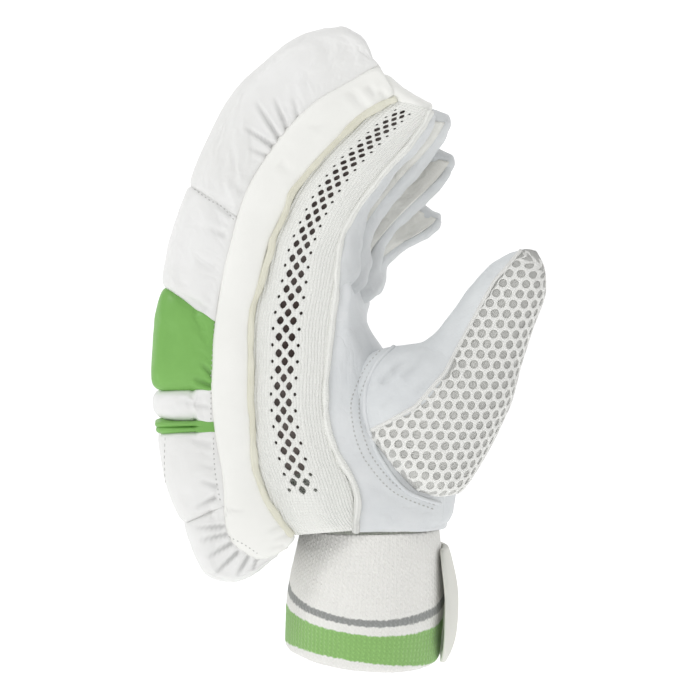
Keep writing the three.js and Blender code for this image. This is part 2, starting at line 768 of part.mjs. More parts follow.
function thumbGeometry(inset) {
  const rings = THUMB_OUTLINE.map(([along, left, right, thick], i) => {
    const edge = i === 0 ? 1 : i === THUMB_OUTLINE.length - 1 ? -1 : 0;
    const centre = thumbPoint(along, (left + right) / 2).addScaledVector(thumbAxis, edge * inset);
    const half = Math.max(((left - right) * THUMB_WIDTH) / 2 - inset, 1);
    const depth = Math.max((thick * THUMB_THICKNESS) / 2 - inset, 1);
    return Array.from({ length: THUMB_SIDES }, (_, k) => {
      const a = (2 * Math.PI * k) / THUMB_SIDES;
      return centre
        .clone()
        .addScaledVector(thumbLeft, half * Math.cos(a))
        .add(new THREE.Vector3(0, depth * Math.sin(a), 0));
    });
  });
  return loftGeometry(rings);
}

// Reach of the thumb's panel slabs, as a share of the width.
const SLAB_REACH = 3;

// A slab on one side of the thumb's panel seam, wide enough to cover the whole thumb on that side.
function thumbSideSlab(side) {
  const seam = THUMB_SEAM.map(([along, left]) =>
    thumbPoint(along, left).addScaledVector(thumbLeft, (side * CLEARANCE) / 2),
  );
  const outer = THUMB_SEAM.map(([along, left]) => thumbPoint(along, left + side * SLAB_REACH));
  const reach = new THREE.Vector3(0, THUMB_THICKNESS, 0);
  const shifted = (row, sign) => row.map((p) => p.clone().addScaledVector(reach, sign));
  return wallGeometry(
    [shifted(seam, -1), shifted(outer, -1)],
    [shifted(seam, 1), shifted(outer, 1)],
  );
}

const handKeepOut = toSolid(loftGeometry(stations(0, CROTCH).map((s) => handRing(s, CLEARANCE))));
const thumbHollow = toSolid(thumbGeometry(LEATHER_THICKNESS));
const thumbWall = toSolid(thumbGeometry(0)).subtract(thumbHollow).subtract(handKeepOut);
add("thumb_leather", fromSolid(thumbWall.intersect(toSolid(thumbSideSlab(1)))), LEATHER, 0.6);
add("thumb_mesh", fromSolid(thumbWall.intersect(toSolid(thumbSideSlab(-1)))), MESH_GREY, 0.85);

// The palm is cut open where the thumb goes in.
const palmRows = stations(FOOT_TRIM, CROTCH - SEAM_TRIM).map((s) => trimmedRow(palmLine(s)));
const palmWall = toSolid(
  wallGeometry(
    palmRows,
    palmRows.map((row) => insetRow(row, LEATHER_THICKNESS)),
  ),
);
add("palm_leather", fromSolid(palmWall.subtract(thumbHollow)), LEATHER, 0.6);

// Where a finger front's shoulders lie: share of the width, and share of the reach to the front.
const FRONT_SHOULDER = 0.2;
const FRONT_ROUNDING = 0.75;

for (const finger of FINGERS) {
  const outer = [];
  const inner = [];
  for (const station of stations(CROTCH + SEAM_TRIM, TIP - TIP_TRIM)) {
    const p = columnPoints(finger, station);
    const [near, far] = [sideY(finger, station, -1), sideY(finger, station, 1)];
    const shoulder = mixPairs(p.gusset, p.front, FRONT_ROUNDING);
    const row = trimmedRow([
      at(p.gusset, near),
      at(shoulder, lerp(near, far, FRONT_SHOULDER)),
      at(p.front, centreOf(finger)),
      at(shoulder, lerp(far, near, FRONT_SHOULDER)),
      at(p.gusset, far),
    ]);
    const back = toward(at(p.front, 0), at(p.wall, 0), LEATHER_THICKNESS).sub(at(p.front, 0));
    outer.push(row);
    inner.push(
      row.map((q, j) => {
        const side = j === 0 ? 1 : j === row.length - 1 ? -1 : 0;
        return side ? q.clone().add(new THREE.Vector3(0, side * LEATHER_THICKNESS, 0)) : q.clone().add(back);
      }),
    );
  }
  add(`${finger.name}_front`, wallGeometry(outer, inner), LEATHER, 0.6);
}

// Binding cord on the seam of shell and gusset
function binding(finger, side) {
  const radius = BINDING_DIAMETER / 2;
  const rings = stations(BINDING_FOOT, TIP - FOOT_TRIM).map((station) => {
    const p = columnPoints(finger, station);
    const centre = at(p.wall, sideY(finger, station, side) + side * (radius + CLEARANCE));
    const across = toward(at(p.seam, 0), at(p.wall, 0), 1).sub(at(p.seam, 0));
    return Array.from({ length: 6 }, (_, k) => {
      const a = (Math.PI * k) / 3;
      return centre
        .clone()
        .addScaledVector(across, radius * Math.cos(a))
        .add(new THREE.Vector3(0, radius * Math.sin(a), 0));
    });
  });
  return loftGeometry(rings);
}
add("index_binding", binding(INDEX, -1), CREAM, 0.7);
add("little_binding", binding(LITTLE, 1), CREAM, 0.7);

// Cuff

const CUFF_STEPS = 28;

// A point of the cuff at an angle from +X and a share of its height, grown by a distance.
function cuffPoint(angle, share, growth) {
  const centreX = lerp(0, CUFF_TOP_X, share);
  const bulge = CUFF_BULGE * Math.sin(Math.PI * clamp(share, 0, 1));
  const halfX = lerp(CUFF_DEPTH, CUFF_TOP_DEPTH, share) / 2 + bulge + growth;
  const halfY = lerp(CUFF_SPAN, CUFF_TOP_SPAN, share) / 2 + bulge + growth;
  const x = centreX + halfX * Math.cos(angle);
  const y = halfY * Math.sin(angle);
  const tilt = Math.tan(degrees(HEM_TILT)) * (y - x) * (1 - share);
  return new THREE.Vector3(x, y, share * CUFF_HEIGHT + tilt);
}

function cuffBand(from, to) {
  const outer = [];
  const inner = [];
  const slit = CUFF_SLIT / CUFF_SPAN;
  for (let k = 0; k <= CUFF_STEPS; k++) {
    const angle = slit + ((2 * Math.PI - 2 * slit) * k) / CUFF_STEPS;
    outer.push([cuffPoint(angle, from, 0), cuffPoint(angle, to, 0)]);
    inner.push([cuffPoint(angle, from, -CUFF_THICKNESS), cuffPoint(angle, to, -CUFF_THICKNESS)]);
  }
  return wallGeometry(outer, inner);
}

const seamShare = CLEARANCE / CUFF_HEIGHT;
const greenFrom = HEM_HEIGHT / CUFF_HEIGHT;
const greenTo = greenFrom + GREEN_STRIPE_HEIGHT / CUFF_HEIGHT;
const greyFrom = greenTo + GREY_STRIPE_GAP / CUFF_HEIGHT;
const greyTo = greyFrom + GREY_STRIPE_HEIGHT / CUFF_HEIGHT;
add("cuff_hem", cuffBand(0, greenFrom - seamShare), TOWEL, 0.95);
add("cuff_stripe_green", cuffBand(greenFrom, greenTo - seamShare), GREEN, 0.95);
add("cuff_band", cuffBand(greenTo, greyFrom - seamShare), TOWEL, 0.95);
add("cuff_stripe_grey", cuffBand(greyFrom, greyTo - seamShare), GREY, 0.95);
add("cuff_top", cuffBand(greyTo, 1), TOWEL, 0.95);

// Closing tab over the slit, with rounded lower corners. Columns: share of the height, half width
// share, and bulge share.
const STRAP_OUTLINE = [
  [0.03, 0.55, 0.1],
  [0.1, 0.85, 0.6],
  [0.25, 1, 0.9],
  [0.5, 1, 0.8],
  [0.75, 0.95, 0.4],
  [0.93, 0.85, 0],
];
const STRAP_STEPS = 6;
function strapPoint([share, width, bulge], t, lift) {
  const reach = (STRAP_WIDTH / CUFF_SPAN) * width * (2 * t - 1);
  return cuffPoint(reach, share, CLEARANCE + bulge * STRAP_BULGE + lift);
}
const strapRows = (lift) =>
  STRAP_OUTLINE.map((row) =>
    Array.from({ length: STRAP_STEPS + 1 }, (_, k) => strapPoint(row, k / STRAP_STEPS, lift)),
  );
add("wrist_strap", wallGeometry(strapRows(STRAP_THICKNESS), strapRows(0)), STRAP_CREAM, 0.7);

export default root;
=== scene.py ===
"""Dresses the left-hand cricket batting glove: padded rolls, knit, leather, mesh thumb and cuff."""
import functools
import logging
import math
from collections.abc import Callable, Sequence
from dataclasses import dataclass, field
from enum import Enum

import bmesh
import bpy
import numpy as np
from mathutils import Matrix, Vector, noise
from mathutils.bvhtree import BVHTree


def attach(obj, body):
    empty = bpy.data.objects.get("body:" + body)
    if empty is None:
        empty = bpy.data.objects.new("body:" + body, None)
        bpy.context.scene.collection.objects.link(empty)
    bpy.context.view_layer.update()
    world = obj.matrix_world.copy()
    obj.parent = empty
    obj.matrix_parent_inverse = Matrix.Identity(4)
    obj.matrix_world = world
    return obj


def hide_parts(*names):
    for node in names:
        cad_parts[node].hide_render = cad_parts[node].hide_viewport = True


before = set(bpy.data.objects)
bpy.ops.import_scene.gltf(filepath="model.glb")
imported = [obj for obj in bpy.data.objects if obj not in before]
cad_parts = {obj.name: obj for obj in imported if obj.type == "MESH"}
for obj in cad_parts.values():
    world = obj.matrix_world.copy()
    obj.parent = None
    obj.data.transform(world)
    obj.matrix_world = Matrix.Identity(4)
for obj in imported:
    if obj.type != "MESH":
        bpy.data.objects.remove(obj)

LOG = logging.getLogger("glove")
MM = 0.001
WELD_DISTANCE = 0.001
FAR_SIDE = 0.5
SEWN_BELOW = -0.8

# Driving sizes of the hand, in millimetres, the same as the solids have.
GLOVE_HEIGHT = 262.0
GLOVE_DEPTH = 160.0
HAND_SPAN = 100.0
FINGER_GAP = 1.4
ROLL_HEIGHT = 24.8
WALL_DEPTH = 16.0
GUSSET_DEPTH = 32.0
FRONT_REACH = 5.0
PALM_REACH = 40.0
CLEARANCE = 0.3

# Side profile from the foot to the fingertip. Columns: seam x and z as shares of depth and height,
# roll share and angle, wall share and angle, gusset share and angle, front share and angle, palm share.
PROFILE = (
    (-0.191, 0.182, 0.4, 204, 0.35, 54, 0.77, 5, 0.4, -20, 0.88),
    (-0.257, 0.165, 0.25, 244, 1.02, 39, 0.81, 4, 0.4, -20, 0.9),
    (-0.303, 0.176, 0.55, 251, 1.28, 26, 0.86, 4, 0.4, -20, 0.91),
    (-0.336, 0.193, 0.71, 230, 1.39, 18, 0.93, 3, 0.5, -17, 0.94),
    (-0.354, 0.227, 0.74, 186, 1.26, 8, 1.06, 1, 0.5, -17, 0.97),
    (-0.357, 0.282, 0.97, 182, 0.97, -2, 1.17, 0, 0.6, -14, 1),
    (-0.375, 0.344, 0.98, 177, 0.99, -3, 1.01, -1, 0.66, -11, 0.91),
    (-0.387, 0.41, 1.01, 178, 0.99, -1, 0.96, -1, 0.72, 0, 0.7),
    (-0.385, 0.474, 1.02, 178, 0.97, 0, 1.01, -1, 0.9, 0, 0.49),
    (-0.38, 0.536, 1, 178, 0.92, -2, 1.06, -2, 1.06, -4, 0.4),
    (-0.362, 0.597, 1, 176, 0.98, -5, 0.98, -3, 1.32, -6, 0.34),
    (-0.339, 0.659, 1.01, 175, 1, -7, 0.9, -7, 1.48, -8, 0.3),
    (-0.313, 0.718, 0.98, 171, 1.14, -15, 0.82, -11, 1.1, -18, 0.16),
    (-0.27, 0.772, 1, 158, 1.14, -20, 0.82, -15, 0.8, -34, 0.16),
    (-0.206, 0.831, 1.08, 137, 1.15, -37, 0.85, -11, 0.8, -40, 0.16),
    (-0.114, 0.884, 1.06, 127, 1.13, -50, 0.8, -11, 0.72, -42, 0.16),
    (-0.033, 0.913, 1.03, 121, 1, -54, 0.66, -16, 0.68, -38, 0.16),
    (0.039, 0.941, 0.8, 120, 1.05, -59, 0.44, -19, 0.66, -36, 0.16),
)
TIP = len(PROFILE) - 1
CROTCH = 10.6
BEND_START = 8.0
BEND_END = 11.0
NARROWING = ((0, 0.8), (2, 0.93), (4, 1), (14, 1), (TIP, 0.87))


def lerp(a: float, b: float, t: float) -> float:
    """Returns the value a share t of the way from a to b."""
    return a + (b - a) * t


def clamp(x: float, low: float = 0.0, high: float = 1.0) -> float:
    """Returns x held between low and high."""
    return min(max(x, low), high)


def smoothstep(x: float, low: float, high: float) -> float:
    """Returns a smooth 0 to 1 ramp of x between low and high."""
    t = clamp((x - low) / (high - low))
    return t * t * (3 - 2 * t)


def hump(x: float, middle: float, width: float) -> float:
    """Returns a bell curve of height 1 round the middle."""
    return math.exp(-(((x - middle) / width) ** 2))


def step(origin: np.ndarray, length: float, angle: float) -> np.ndarray:
    """Returns the point at a length and an angle in degrees from origin, in the XZ plane."""
    a = math.radians(angle)
    return origin + length * np.array((math.cos(a), math.sin(a)))


def in_glove(point: Sequence[float]) -> np.ndarray:
    """Returns a point given as shares of the glove's depth and height, in millimetres."""
    return np.array((point[0] * GLOVE_DEPTH, point[1] * GLOVE_HEIGHT))


def catmull(rows: np.ndarray, t: float) -> np.ndarray:
    """Returns the point on the smooth curve through rows.

    Args:
        rows: Points or values, one a row.
        t: Place along the rows, from 0 to the last row's number.

    Returns:
        The interpolated row.
    """
    last = len(rows) - 1
    t = clamp(t, 0, last)
    i = min(int(t), last - 1)
    f = t - i
    a, b, c, d = (rows[min(max(k, 0), last)] for k in (i - 1, i, i + 1, i + 2))
    return b + 0.5 * f * (c - a + f * (2 * a - 5 * b + 4 * c - d + f * (3 * b - a - 3 * c + d)))


def arc_lengths(points: np.ndarray) -> np.ndarray:
    """Returns how far each point lies along the line through all of them."""
    return np.concatenate(([0.0], np.cumsum(np.linalg.norm(np.diff(points, axis=0), axis=1))))


@dataclass(frozen=True)
class Finger:
    """One finger's column of the glove.

    Attributes: name, number from the index side, back arch in mm, crease and tip as shares, thickness
    share, lag of the back at the tip, and how many stations its last roll's crown stops short.
    """

    name: str
    number: int
    arch: float
    crease: tuple[float, float]
    tip: tuple[float, float]
    thickness: float
    lag: float
    short: float

    @property
    def centre(self) -> float:
        """Y of the column's middle, in mm."""
        return (self.number + 0.5) * HAND_SPAN / 4 - HAND_SPAN / 2

    def half(self, station: float) -> float:
        """Half the column's width at a station, in mm."""
        share = float(np.interp(station, [n[0] for n in NARROWING], [n[1] for n in NARROWING]))
        return (HAND_SPAN / 4 - FINGER_GAP) / 2 * share

    def side(self, station: float, side: int) -> float:
        """Y of one side of the column, side -1 towards the index side, in mm."""
        return self.centre + side * self.half(station)


INDEX = Finger("index", 0, 0, (-0.011, 0.632), (0.19, 0.852), 1, 0, 0)
MIDDLE = Finger("middle", 1, 2.2, (0.01, 0.618), (0.237, 0.85), 0.97, 0.28, 0.7)
RING = Finger("ring", 2, 1, (0.045, 0.603), (0.254, 0.793), 0.96, 0.2, 0.7)
LITTLE = Finger("little", 3, -2.5, (0.058, 0.597), (0.222, 0.705), 0.86, 0.2, 0.7)
FINGERS = (INDEX, MIDDLE, RING, LITTLE)
OUTER_SIDES = {INDEX: -1, LITTLE: 1}
PALM_TUCK = 1.6


def across_hand(station: float, inset: float, share: float) -> float:
    """Returns a Y in mm at a share of the way over all columns, inset at both sides."""
    return lerp(INDEX.side(station, -1) + inset, LITTLE.side(station, 1) - inset, share)


def column_at(y: float) -> tuple[int, float]:
    """Returns the finger whose middle lies before Y, and the share of the way to the next one."""
    slot = clamp((y + HAND_SPAN / 2) / (HAND_SPAN / 4) - 0.5, 0, len(FINGERS) - 1)
    low = int(min(slot, len(FINGERS) - 2))
    return low, slot - low


class Line(Enum):
    """The five lines that run along each column, from the back to the palm."""

    CROWN = 0
    SEAM = 1
    WALL = 2
    GUSSET = 3
    FRONT = 4


class HandShape:
    """The side profile of all four columns, worked out once from the profile table."""

    def __init__(self) -> None:
        """Fills one table of points for each finger and line."""
        self.rows = {f: np.array([self._station(f, s) for s in range(TIP + 1)]) for f in FINGERS}
        self.palm_share = np.array([row[10] for row in PROFILE])

    def _station(self, finger: Finger, station: int) -> np.ndarray:
        """Works out the finger's five points at a whole station.

        Args:
            finger: The finger.
            station: The station.

        Returns:
            Rows of x and z in mm.
        """
        sx, sz, roll, roll_a, wall, wall_a, gus, gus_a, front, front_a, _ = PROFILE[station]
        seam = in_glove((sx, sz))
        crown = step(seam, roll * ROLL_HEIGHT, roll_a)
        edge = step(seam, wall * WALL_DEPTH, wall_a)
        end = step(edge, gus * GUSSET_DEPTH, gus_a)
        face = step(end, front * FRONT_REACH, front_a)
        up = (crown - seam) / np.linalg.norm(crown - seam) * finger.arch
        return np.array([self._moved(p, finger, station) for p in (crown + up, seam + up, edge, end, face)])

    @staticmethod
    def _moved(point: np.ndarray, finger: Finger, station: int) -> np.ndarray:
        """Turns and scales an index point onto another finger.

        Args:
            point: X and z of the index finger's point.
            finger: The other finger.
            station: The point's station.

        Returns:
            X and z in mm.
        """
        blend = smoothstep(station, BEND_START, BEND_END)
        if finger is INDEX or blend == 0:
            return point
        root_a, tip_a = in_glove(INDEX.crease), in_glove(INDEX.tip)
        root_b, tip_b = in_glove(finger.crease), in_glove(finger.tip)
        axis_a, axis_b = tip_a - root_a, tip_b - root_b
        length_a, length_b = np.linalg.norm(axis_a), np.linalg.norm(axis_b)
        rel = point - root_a
        along = rel @ axis_a / length_a
        across = (rel[1] * axis_a[0] - rel[0] * axis_a[1]) / length_a
        v = across * finger.thickness / length_b
        u = along / length_a - finger.lag * v * smoothstep(station, BEND_END, TIP)
        moved = root_b + u * axis_b + v * np.array((-axis_b[1], axis_b[0]))
        return point + (moved - point) * blend

    def point(self, finger: Finger, line: Line, station: float) -> np.ndarray:
        """Returns x and z, in mm, of a finger's line at any station."""
        return catmull(self.rows[finger][:, line.value], station)

    def at(self, finger: Finger, line: Line, station: float, y: float) -> Vector:
        """Returns the point of a finger's line at a station and a Y, in mm."""
        x, z = self.point(finger, line, station)
        return Vector((x, y, z))

    def palm_point(self, station: float, across: float) -> Vector:
        """Returns a point of the palm, in mm.

        Args:
            station: Place from the foot up to the crotch.
            across: From -1 at the index side to 1 at the little side.

        Returns:
            The point on the palm's surface.
        """
        near = self.point(INDEX, Line.GUSSET, station)
        far = self.point(LITTLE, Line.GUSSET, station)
        reach = float(catmull(self.palm_share, station)) * PALM_REACH
        share = float(catmull(PALM_SHARES, (across + 1) / 2 * (len(PALM_SHARES) - 1)))
        y_share = float(catmull(PALM_ACROSS, (across + 1) / 2 * (len(PALM_ACROSS) - 1)))
        y = across_hand(station, PALM_TUCK, (y_share + 1) / 2)
        edge = near + (far - near) * (y_share + 1) / 2
        low, share_up = column_at(y)
        fronts = [self.point(f, Line.FRONT, station) for f in FINGERS[low:low + 2]]
        front = fronts[0] + (fronts[1] - fronts[0]) * share_up
        blend = smoothstep(station, BEND_START - 1, CROTCH) * clamp(share * 3)
        bare = edge + (reach - edge[0]) * share * np.array((1, -0.03))
        x, z = bare + (front - bare) * blend
        return Vector((x, y, z))


PALM_ACROSS = np.array((-1, -0.98, -0.9, -0.75, -0.5, -0.2, 0.2, 0.5, 0.75, 0.9, 0.98, 1))
PALM_SHARES = np.array((0, 0.22, 0.5, 0.78, 0.96, 1, 0.98, 0.92, 0.76, 0.48, 0.2, 0))
SHAPE = HandShape()


# Meshes

Mapping = Callable[[float, float], Vector]


def finished(mesh: bmesh.types.BMesh, name: str) -> bpy.types.Object:
    """Turns a bmesh in millimetres into a smooth object in metres that rides on the root.

    Args:
        mesh: The bmesh, which is freed.
        name: The piece's name.

    Returns:
        The new object.
    """
    bmesh.ops.scale(mesh, vec=(MM, MM, MM), verts=mesh.verts)
    data = bpy.data.meshes.new(name)
    mesh.to_mesh(data)
    mesh.free()
    data.shade_smooth()
    piece = bpy.data.objects.new(name, data)
    bpy.context.scene.collection.objects.link(piece)
    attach(piece, "root")
    return piece


def grid_mesh(rows: int, columns: int, mapping: Mapping, cloth: Mapping) -> bmesh.types.BMesh:
    """Returns a grid bent over a surface, with a UV map in metres of cloth.

    Args:
        rows: Faces along u.
        columns: Faces along v.
        mapping: Gives the place in mm for u and v from 0 to 1.
        cloth: Gives the place on the flat cloth in mm, as x and y, for u and v.

    Returns:
        The bmesh in millimetres, whose vertices know their row and column.
    """
    mesh = bmesh.new()
    bmesh.ops.create_grid(mesh, x_segments=rows, y_segments=columns, size=0.5)
    uv = mesh.loops.layers.uv.new("cloth")
    row = mesh.verts.layers.int.new("row")
    column = mesh.verts.layers.int.new("column")
    for vert in mesh.verts:
        vert[row] = round((vert.co.x + 0.5) * rows)
        vert[column] = round((vert.co.y + 0.5) * columns)
        vert.co = mapping(vert[row] / rows, vert[column] / columns)
    for face in mesh.faces:
        for loop in face.loops:
            flat = cloth(loop.vert[row] / rows, loop.vert[column] / columns)
            loop[uv].uv = (flat[0] * MM, flat[1] * MM)
    return mesh


def flat_cloth(length: float, width: float) -> Mapping:
    """Returns the cloth map of an evenly laid panel, length along u and width along v in mm."""
    return lambda u, v: Vector((u * length, v * width, 0))


def tube_mesh(points: Sequence[Vector], radius: float, sides: int = 8) -> bmesh.types.BMesh:
    """Returns a closed round cord through points, in mm.

    Args:
        points: The cord's middle line.
        radius: The cord's radius.
        sides: Faces round it.

    Returns:
        The bmesh in millimetres.
    """
    line = np.array([tuple(p) for p in points])
    last = len(line) - 1

    def place(u: float, v: float) -> Vector:
        """Returns the cord's surface."""
        spot = Vector(catmull(line, u * last))
        ahead = Vector(catmull(line, min(u * last + 0.2, last)))
        behind = Vector(catmull(line, max(u * last - 0.2, 0)))
        along = (ahead - behind).normalized()
        side = along.cross(Vector((0, 1, 0))).normalized()
        up = along.cross(side)
        turn = v * math.tau
        return spot + (side * math.cos(turn) + up * math.sin(turn)) * radius

    mesh = grid_mesh(last * 2, sides, place, flat_cloth(last * 3.0, radius * 6))
    bmesh.ops.remove_doubles(mesh, verts=mesh.verts, dist=WELD_DISTANCE)
    bmesh.ops.holes_fill(mesh, edges=[e for e in mesh.edges if e.is_boundary])
    bmesh.ops.recalc_face_normals(mesh, faces=mesh.faces)
    return mesh


def face_out(mesh: bmesh.types.BMesh, outward: Vector) -> None:
    """Turns an open sheet over if its faces look away from a direction.

    Args:
        mesh: The sheet.
        outward: The direction that its faces shall look to.
    """
    mesh.normal_update()
    total = sum((f.normal * f.calc_area() for f in mesh.faces), Vector())
    if total.dot(outward) < 0:
        bmesh.ops.reverse_faces(mesh, faces=mesh.faces)


def thicken(piece: bpy.types.Object, thickness: float, offset: float = -1.0) -> None:
    """Adds a Solidify modifier.

    Args:
        piece: The piece to change.
        thickness: The wall in mm.
        offset: Where the wall grows, from -1 inwards to 1 outwards.
    """
    modifier = piece.modifiers.new("wall", "SOLIDIFY")
    modifier.thickness = thickness * MM
    modifier.offset = offset
    modifier.use_rim = True


def smooth_over(piece: bpy.types.Object, levels: int) -> None:
    """Adds a Subdivision Surface modifier with equal view and render levels."""
    modifier = piece.modifiers.new("smooth", "SUBSURF")
    modifier.levels = levels
    modifier.render_levels = levels


@dataclass(frozen=True)
class PadSpan:
    """How a pad's cube is cut and rounded.

    Attributes: faces along, across and through it, and the exponents of its rounding over the ends,
    round the upper section, round the foot and over the ends at the foot.
    """

    along: int = 30
    across: int = 12
    through: int = 10
    end_power: float = 6.0
    side_power: float = 3.2
    foot_power: float = 3.2
    foot_end: float = 0.0


def pad_mesh(span: PadSpan, mapping: Callable[[float, float, float], Vector]) -> bmesh.types.BMesh:
    """Returns a rounded cube bent into a pad.

    Args:
        span: The pad's cuts and rounding.
        mapping: Gives the place in mm for coordinates from -1 to 1 along, across and through.

    Returns:
        The closed bmesh in millimetres.
    """
    mesh = bmesh.new()
    bmesh.ops.create_cube(mesh, size=2)
    for axis, cuts in enumerate((span.along, span.across, span.through)):
        for k in range(1, cuts):
            spot = Vector((0, 0, 0))
            spot[axis] = lerp(-1, 1, k / cuts)
            normal = Vector((0, 0, 0))
            normal[axis] = 1
            everything = mesh.verts[:] + mesh.edges[:] + mesh.faces[:]
            bmesh.ops.bisect_plane(mesh, geom=everything, plane_co=spot, plane_no=normal, dist=1e-6)
    sewn = mesh.verts.layers.int.new("sewn")
    for vert in mesh.verts:
        a, b, c = vert.co
        vert[sewn] = int(c < SEWN_BELOW)
        reach = max(abs(a), abs(b), abs(c))
        power = lerp(span.foot_power, span.side_power, smoothstep(c, -0.7, 0.3))
        ring = (abs(b) ** power + abs(c) ** power) ** (1 / power)
        end = lerp(max(span.foot_end, span.end_power), span.end_power, smoothstep(c, -1.0, -0.3))
        norm = (ring ** end + abs(a) ** end) ** (1 / end)
        scale = reach / norm if norm else 1
        vert.co = mapping(a * scale, b * scale, c * scale)
    if mesh.calc_volume(signed=True) < 0:
        bmesh.ops.reverse_faces(mesh, faces=mesh.faces)
    return mesh


@dataclass(frozen=True)
class Panel:
    """How a cloth piece is finished: its wall in mm, the wall's offset and its subdivision levels."""

    wall: float = 0.0
    offset: float = -1.0
    smooth: int = 0

    def make(
        self, mesh: bmesh.types.BMesh, name: str, finish: "Finish", slot: str, *nodes: str
    ) -> bpy.types.Object:
        """Turns a mesh into a finished, dressed piece.

        Args:
            mesh: The bmesh in millimetres.
            name: The piece's name.
            finish: Its finish.
            slot: Its record slot; not used.
            *nodes: The CAD nodes that it stands for.

        Returns:
            The new piece.
        """
        piece = finished(mesh, name)
        if self.wall:
            thicken(piece, self.wall, self.offset)
        if self.smooth:
            smooth_over(piece, self.smooth)
        dress(piece, finish)
        for node in nodes:
            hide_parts(node)
        return piece


def ripple(position: Vector, pitch: float, seed: float = 0.0) -> float:
    """Returns smooth noise from -1 to 1 with a pitch in mm."""
    return noise.noise(position / pitch + Vector((seed, seed * 1.7, -seed)))


def push_along_normals(mesh: bmesh.types.BMesh, height: Callable[[Vector], float]) -> None:
    """Moves each vertex along its normal.

    Args:
        mesh: The mesh to change.
        height: Function of a place in mm that gives the height in mm.
    """
    mesh.normal_update()
    moves = [(v, v.normal * height(v.co)) for v in mesh.verts]
    for vert, move in moves:
        vert.co += move


def seen(position: Vector) -> Vector:
    """Returns where a place shows on the glove's middle plane, as X and Z mm, from the thumb side."""
    scale = Studio.distance / (Studio.distance + position.y)
    x = Studio.camera_x + (position.x - Studio.camera_x) * scale
    return Vector((x, Studio.camera_z + (position.z - Studio.camera_z) * scale))


@dataclass(frozen=True)
class Crease:
    """A groove drawn on the thumb side as seen, from start to end in XZ mm, with depth and half width."""

    start: tuple[float, float]
    end: tuple[float, float]
    depth: float = 0.8
    width: float = 1.6
    onset: float = 0.12
    lip_place: float = 2.2
    lip_height: float = 0.35

    def height(self, position: Vector) -> float:
        """Works out what the crease takes off at a place.

        Args:
            position: The place in mm.

        Returns:
            The depth in mm, as a number below zero.
        """
        a, b = Vector(self.start), Vector(self.end)
        p = seen(position)
        line = b - a
        t = clamp((p - a).dot(line) / line.length_squared)
        distance = (p - a - line * t).length
        fade = min(1.0, t / self.onset) * (1 - t) ** 0.7
        groove = hump(distance, 0.0, self.width)
        lip = hump(distance, self.lip_place * self.width, self.width)
        return self.depth * fade * (self.lip_height * lip - groove)


def wrinkle(
    piece: bpy.types.Object, soft: Callable[[Vector], float], creases: Sequence[Crease] = ()
) -> None:
    """Moves a finished piece's vertices along their normals and stores each crease's depth for the material,
    which paints shade into the grooves.

    Args:
        piece: The piece, in metres.
        soft: Gives the soft height in mm of a place in mm.
        creases: Creases drawn on the thumb side.
    """
    crease_shade_marks = piece.data.attributes.new("groove", "FLOAT", "POINT").data
    moves = []
    for vert, groove in zip(piece.data.vertices, crease_shade_marks):
        place = vert.co / MM
        near = vert.normal.y < FAR_SIDE
        heights = [crease.height(place) for crease in creases] if near else [0.0]
        # Painted shade: the deeper the crease, the darker the leather colour is painted there.
        groove.value = clamp(-sum(h / crease.width ** 2 for h, crease in zip(heights, creases)))
        moves.append(vert.normal * (soft(place) + sum(heights)) * MM)
    for vert, move in zip(piece.data.vertices, moves):
        vert.co += move
    piece.data.update()


@dataclass(frozen=True)
class Stuffing:
    """How a padded piece is filled.

    Attributes: pressure, spare cloth as a share, longest move in mm, frames, and the cloth's stretch and
    bending stiffness.
    """

    pressure: float = 3.0
    spare: float = 0.014
    cap: float = 0.8
    frames: int = 12
    stiffness: float = 15.0
    bending: float = 0.1

    def fill(self, piece: bpy.types.Object) -> None:
        """Inflates a closed piece with a short cloth simulation and keeps the result in its mesh.

        Args:
            piece: The closed mesh, in metres, whose sewn vertices are marked.
        """
        scene = bpy.context.scene
        rest = [v.co.copy() for v in piece.data.vertices]
        marks = piece.data.attributes["sewn"].data
        group = piece.vertex_groups.new(name="sewn")
        group.add([i for i, mark in enumerate(marks) if mark.value], 1.0, "REPLACE")
        modifier = piece.modifiers.new("cloth", "CLOTH")
        settings = modifier.settings
        settings.use_pressure = True
        settings.uniform_pressure_force = self.pressure
        settings.effector_weights.gravity = 0
        settings.vertex_group_mass = "sewn"
        settings.shrink_min = -self.spare
        settings.tension_stiffness = self.stiffness
        settings.compression_stiffness = self.stiffness
        settings.bending_stiffness = self.bending
        modifier.point_cache.frame_start = 1
        modifier.point_cache.frame_end = self.frames
        for number in range(1, self.frames + 1):
            scene.frame_set(number)
        moved = piece.evaluated_get(bpy.context.evaluated_depsgraph_get()).data
        places = [v.co.copy() for v in moved.vertices]
        piece.modifiers.remove(modifier)
        piece.vertex_groups.clear()
        scene.frame_set(1)
        for vert, old, new in zip(piece.data.vertices, rest, places):
            move = new - old
            longest = self.cap * MM
            vert.co = old + move * (longest / max(move.length, longest))
        piece.data.update()


# Materials

Socket = bpy.types.NodeSocket


